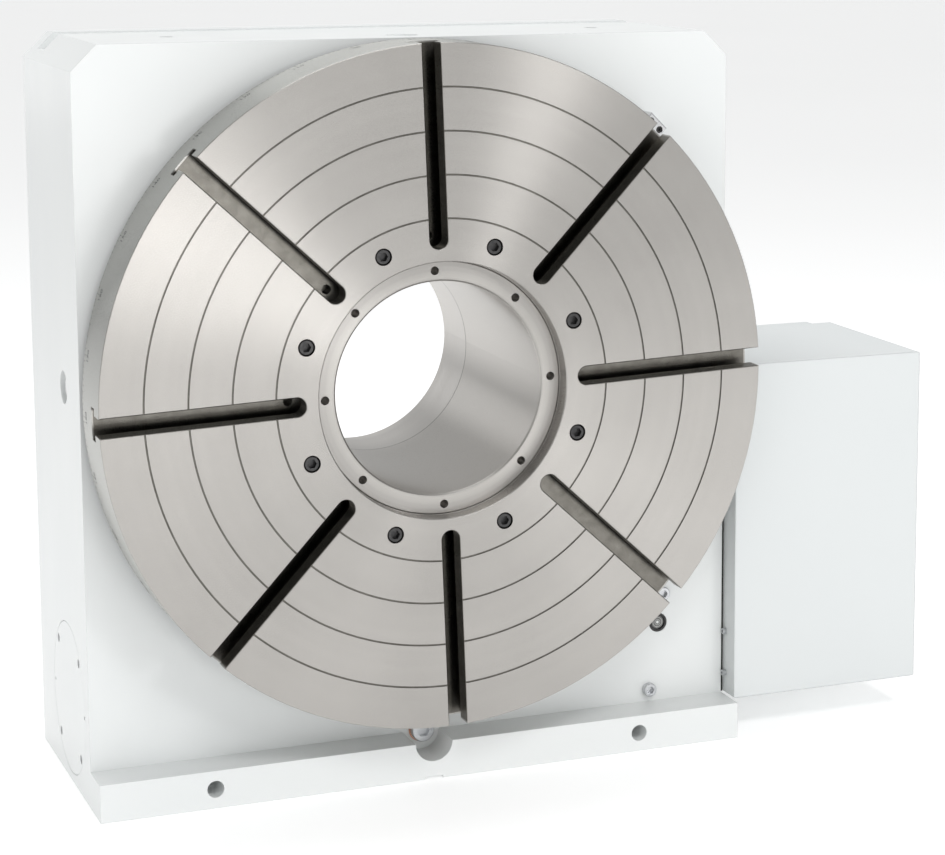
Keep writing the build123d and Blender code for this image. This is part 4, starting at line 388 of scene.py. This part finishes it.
def faceplate_metal(centre):
    """Face turned to a satin finish; its slots and counterbores get painted shade, a dark colour where shade
    falls in them, and its ring grooves are drawn as dark lines.
    """
    s = Surface("faceplate_turned", (0.46, 0.44, 0.42), PLATE_ROUGHNESS, 1.0)
    s.turned(0.9, SPINDLE_AXIS)
    distance, along = s.axis_distance(SPINDLE_AXIS, centre)
    fine = s.ring_noise(distance, along, 800.0, 1.0)
    broad = s.ring_noise(distance, along, 60.0, 3.0)
    grain = s.noise(1100.0, 2.0)
    tone = s.math("ADD", s.ramp(broad, 0.0, 0.4), s.ramp(s.noise(9.0, 5.0), 0.0, 0.6))
    metal = s.mix_colors(tone, (0.375, 0.36, 0.342), (0.44, 0.423, 0.402))
    sunk = s.math("GREATER_THAN", along, PLATE_LOW.y + FACE_SKIN)
    # painted shade: slot and counterbore walls below the face skin are marked for a dark colour
    recess_shade_mask = s.math("MULTIPLY", sunk, s.between(distance, SLOT_ZONE_START, PLATE_RADIUS - RIM_MARGIN))
    step = s.math("PINGPONG", s.math("ADD", distance, RING_STEP / 2), RING_STEP / 2)
    from_ring = s.math("SUBTRACT", RING_STEP / 2, step)
    on_ring = s.math("LESS_THAN", from_ring, RING_HALF_WIDTH)
    groove = s.math("MULTIPLY", on_ring, s.between(distance, *RING_ZONE))
    rim = s.math("MULTIPLY", sunk, s.math("GREATER_THAN", distance, PLATE_RADIUS - RIM_SKIN))
    # painted shade colour for the slots and counterbores, mottled by noise
    recess_painted_shade = s.mix_colors(s.ramp(s.noise(70.0, 4.0), 0.0, 1.0), (0.13, 0.123, 0.108), (0.21, 0.20, 0.18))
    metal = s.mix_colors(rim, metal, (0.44, 0.44, 0.42))
    metal = s.mix_colors(groove, metal, (0.028, 0.026, 0.024))
    s.link(s.mix_colors(recess_shade_mask, metal, recess_painted_shade), s.shader.inputs["Base Color"])
    s.vary_roughness(grain, PLATE_ROUGHNESS * 0.85, PLATE_ROUGHNESS * 1.15)
    s.bump([(fine, 0.00002, 0.06), (grain, 0.00002, 0.12)], 0.0004)
    return s.material


def spindle_metal(centre):
    """Ground steel, painted lighter within the bore as painted light; a dark joint line shows in the bore
    where the rear sleeve meets it.
    """
    s = Surface("spindle_turned", (0.42, 0.405, 0.385), 0.3, 1.0)
    s.turned(0.7, SPINDLE_AXIS)
    distance, along = s.axis_distance(SPINDLE_AXIS, centre)
    broad = s.ring_noise(distance, along, 130.0, 3.0)
    grain = s.noise(1100.0, 2.0)
    metal = s.mix_colors(s.ramp(broad, 0.0, 1.0), (0.36, 0.345, 0.33), (0.46, 0.445, 0.42))
    # painted light: the bore's wall gets a lighter colour than the same steel on the face, standing in for
    # the bright light it reflects
    bore_painted_light = s.math("LESS_THAN", distance, SPINDLE_BORE + BORE_SKIN)
    metal = s.mix_colors(bore_painted_light, metal, (0.54, 0.52, 0.495))
    joint = s.math("GREATER_THAN", along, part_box("spindle")[1].y - SLEEVE_JOINT)
    s.link(s.mix_colors(joint, metal, (0.05, 0.048, 0.045)), s.shader.inputs["Base Color"])
    s.vary_roughness(grain, 0.26, 0.36)
    s.bump([(broad, 0.00002, 0.08), (grain, 0.00002, 0.1)], 0.0004)
    return s.material


# ---- Which node gets which material -----------------------------------------
def dress_cad():
    spindle_centre = (0, 0, AXIS_Z)
    worm_low, worm_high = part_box("worm_shaft")
    worm_centre = (0, 0, (worm_low.z + worm_high.z) / 2)
    motor_low, motor_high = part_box("motor_shaft")
    motor_centre = (0, 0, (motor_low.z + motor_high.z) / 2)
    plate = faceplate_metal(spindle_centre)
    spindle = spindle_metal(spindle_centre)
    sleeve = turned_metal(
        "sleeve_turned", (0.60, 0.58, 0.555), (0.54, 0.52, 0.50), 0.36, 0.5,
        SPINDLE_AXIS, spindle_centre, mark_scale=900.0,
    )
    bearing = turned_metal(
        "bearing_steel", (0.56, 0.57, 0.58), (0.48, 0.49, 0.50), 0.22, 0.3, SPINDLE_AXIS, spindle_centre
    )
    worm = turned_metal(
        "worm_steel", (0.55, 0.55, 0.55), (0.45, 0.45, 0.45), 0.26, 0.3, WORM_AXIS, worm_centre
    )
    shaft = turned_metal(
        "motor_steel", (0.58, 0.58, 0.58), (0.5, 0.5, 0.5), 0.28, 0.3, WORM_AXIS, motor_centre
    )
    screws = black_oxide()
    zinc = brushed_metal("zinc_plate", (0.62, 0.63, 0.64), (0.50, 0.51, 0.53), 0.30)
    bright = brushed_metal("bright_steel", (0.74, 0.74, 0.74), (0.60, 0.60, 0.61), 0.20)
    iron = raw_iron()
    black = rubber()
    plastic = moulded_plastic()
    paint, sheet = housing_paint(), cover_paint()
    bronze = cut_bronze("cut_bronze", (0.60, 0.42, 0.20), (0.48, 0.32, 0.15))
    brass = cut_bronze("machined_brass", (0.74, 0.58, 0.30), (0.62, 0.47, 0.23))
    copper = cut_bronze("soft_copper", (0.72, 0.40, 0.28), (0.58, 0.31, 0.21))
    chosen = {
        paint: ("housing", "worm_end_cover", "rear_cover"),
        sheet: ("motor_cover_front", "motor_cover_rear"),
        plate: ("faceplate",),
        spindle: ("spindle",),
        sleeve: ("rear_sleeve", "brake_disc"),
        bearing: ("main_bearing_inner_ring", "main_bearing_outer_ring", "main_bearing_rollers"),
        worm: (
            "worm_shaft", "worm_bearing_cones", "worm_bearing_cups", "worm_bearing_rollers", "driven_gear",
        ),
        shaft: ("motor_shaft", "motor_pinion"),
        bronze: ("worm_wheel",),
        brass: ("main_bearing_cage", "clamp_oil_inlet"),
        copper: ("front_port_washer",),
        iron: ("brake_ring", "brake_cylinder", "drive_plate", "brake_piston"),
        zinc: ("oil_plugs", "front_port_plug", "motor_cover_bracket", "motor_cover_screws", "cable_sockets"),
        bright: ("side_port_plug", "index_block", "home_sensor", "home_dog"),
        black: ("front_seal", "rear_seal", "piston_seals", "motor_cover_gasket", "motor_cover_seal"),
        plastic: ("motor_end_cap", "clamp_valve_coil"),
        motor_coating(): ("motor_body",),
        anodised(): ("clamp_valve_block",),
        sight_glass(): ("oil_sight_glass",),
    }
    given = {name: material for material, names in chosen.items() for name in names}
    # The rest are black: screws, locknuts and the sight glass's bezel.
    for name, obj in NODES.items():
        obj.data.materials.clear()
        obj.data.materials.append(given.get(name, screws))


# ---- Degree scale on the faceplate's rim ------------------------------------
TICK_WIDTH = 0.45 * MM
TICK_LENGTHS = {10: 10 * MM, 5: 7.5 * MM, 1: 5 * MM}     # by step in degrees, longest first
NUMBER_HEIGHT = 7 * MM
NUMBER_PLACE = 17 * MM
MARK_PROUD = 0.03 * MM
MARK_SUNK = 0.09 * MM
TICK_INSET = 1.0 * MM
WELD = 0.002 * MM
CAP_HEIGHT = 0.7            # a digit's height as a share of the type size
DIGIT_CURVE_STEPS = 3


def on_rim(angle, y, radius):
    """The point at radius and angle round the spindle's axis, at depth y."""
    return Vector((radius * math.cos(angle), y, AXIS_Z + radius * math.sin(angle)))


def ride_on_table(name, mesh, material):
    mesh.materials.append(material)
    piece = bpy.data.objects.new(name, mesh)
    bpy.context.scene.collection.objects.link(piece)
    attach(piece, "table")


def make_ticks(material):
    """A filled line at every degree, longer at each fifth and tenth."""
    bm = bmesh.new()
    half_angle = TICK_WIDTH / 2 / PLATE_RADIUS
    for degree in range(360):
        length = next(length for step, length in TICK_LENGTHS.items() if degree % step == 0)
        angle = math.radians(degree) + PARK_ANGLE
        back = PLATE_HIGH.y - TICK_INSET
        front = back - length
        corners = []
        for radius in (PLATE_RADIUS - MARK_SUNK, PLATE_RADIUS + MARK_PROUD):
            for side, y in ((-1, back), (1, back), (1, front), (-1, front)):
                corners.append(bm.verts.new(on_rim(angle + side * half_angle, y, radius)))
        low, high = corners[:4], corners[4:]
        bm.faces.new(low)
        bm.faces.new(high[::-1])
        for k in range(4):
            following = (k + 1) % 4
            bm.faces.new((low[k], high[k], high[following], low[following]))
    bmesh.ops.recalc_face_normals(bm, faces=bm.faces)
    mesh = bpy.data.meshes.new("scale_ticks")
    bm.to_mesh(mesh)
    bm.free()
    ride_on_table("scale_ticks", mesh, material)


def make_numbers(material):
    """The tens of degrees, each set in type and bent round the rim."""
    bm = bmesh.new()
    half_thickness = (MARK_SUNK + MARK_PROUD) / 2
    centre = PLATE_HIGH.y - TICK_INSET - NUMBER_PLACE
    for degree in range(0, 360, 10):
        curve = bpy.data.curves.new("number", "FONT")
        curve.body = str(degree)
        curve.size = NUMBER_HEIGHT / CAP_HEIGHT
        curve.align_x = "CENTER"
        curve.align_y = "CENTER"
        curve.resolution_u = DIGIT_CURVE_STEPS
        curve.extrude = half_thickness
        text = bpy.data.objects.new("number", curve)
        flat = text.to_mesh()
        angle = math.radians(degree) + PARK_ANGLE
        for vertex in flat.vertices:
            along, across, out = vertex.co
            radius = PLATE_RADIUS + MARK_PROUD - half_thickness + out
            vertex.co = on_rim(angle - along / PLATE_RADIUS, centre + across, radius)
        bm.from_mesh(flat)
        text.to_mesh_clear()
        bpy.data.objects.remove(text)
        bpy.data.curves.remove(curve)
    bmesh.ops.remove_doubles(bm, verts=bm.verts, dist=WELD)
    bmesh.ops.recalc_face_normals(bm, faces=bm.faces)
    mesh = bpy.data.meshes.new("scale_numbers")
    bm.to_mesh(mesh)
    bm.free()
    ride_on_table("scale_numbers", mesh, material)


# ---- Studio -----------------------------------------------------------------
WORLD_COLOR = (0.99, 1.0, 1.0, 1)
WORLD_STRENGTH = 0.60
FLOOR_GLOW = 0.32


def area_light(name, place, width, height, power):
    """A soft panel aimed at the spindle, hidden from the camera itself."""
    data = bpy.data.lights.new(name, "AREA")
    data.shape = "RECTANGLE"
    data.size = width
    data.size_y = height
    data.energy = power
    lamp = bpy.data.objects.new(name, data)
    lamp.visible_camera = False
    aim = (Vector((0, 0, AXIS_Z)) - Vector(place)).to_track_quat("-Z", "Y")
    lamp.matrix_world = Matrix.Translation(Vector(place)) @ aim.to_matrix().to_4x4()
    bpy.context.scene.collection.objects.link(lamp)


def make_world():
    world = bpy.data.worlds.new("studio")
    bpy.context.scene.world = world
    world.use_nodes = True
    background = world.node_tree.nodes["Background"]
    background.inputs["Color"].default_value = WORLD_COLOR
    background.inputs["Strength"].default_value = WORLD_STRENGTH


def make_floor():
    """A pale floor that glows a little, so that it fades into the white behind the object."""
    floor_mesh = bpy.data.meshes.new("floor")
    sides = ((-1, -1), (1, -1), (1, 1), (-1, 1))
    corners = [(x * FLOOR_REACH, y * FLOOR_REACH, -FLOOR_GAP) for x, y in sides]
    floor_mesh.from_pydata(corners, [], [(0, 1, 2, 3)])
    floor = bpy.data.objects.new("floor", floor_mesh)
    bpy.context.scene.collection.objects.link(floor)
    s = Surface("floor_white", (0.90, 0.90, 0.90), 0.6)
    s.value("Emission Color", (1, 1, 1, 1))
    s.value("Emission Strength", FLOOR_GLOW)
    s.vary_color(s.ramp(s.noise(0.6, 3.0), 0.0, 1.0), (0.895, 0.895, 0.895), (0.915, 0.915, 0.915))
    floor_mesh.materials.append(s.material)


def make_lights():
    """Places and panel sizes in metres, powers in watts."""
    area_light("front", (0.22, -3.2, 0.40), 0.6, 0.5, 5.5)
    area_light("upper_right", (2.25, -4.1, 1.75), 0.5, 0.5, 14)
    area_light("high", (0.2, -3.2, 3.6), 2.2, 1.0, 50)
    area_light("top", (0.0, 0.9, 4.0), 2.6, 1.6, 64)
    area_light("left", (-3.2, -3.6, 1.2), 1.4, 1.4, 7)
    area_light("rear", (-0.94, 2.63, 1.0), 0.9, 0.9, 1.6)


# ---- Main -------------------------------------------------------------------
make_camera()
dress_cad()
scale_ink = ink("scale_ink", (0.035, 0.035, 0.037))
make_ticks(scale_ink)
make_numbers(scale_ink)
make_world()
make_floor()
make_lights()
bpy.context.scene.view_settings.view_transform = "Standard"
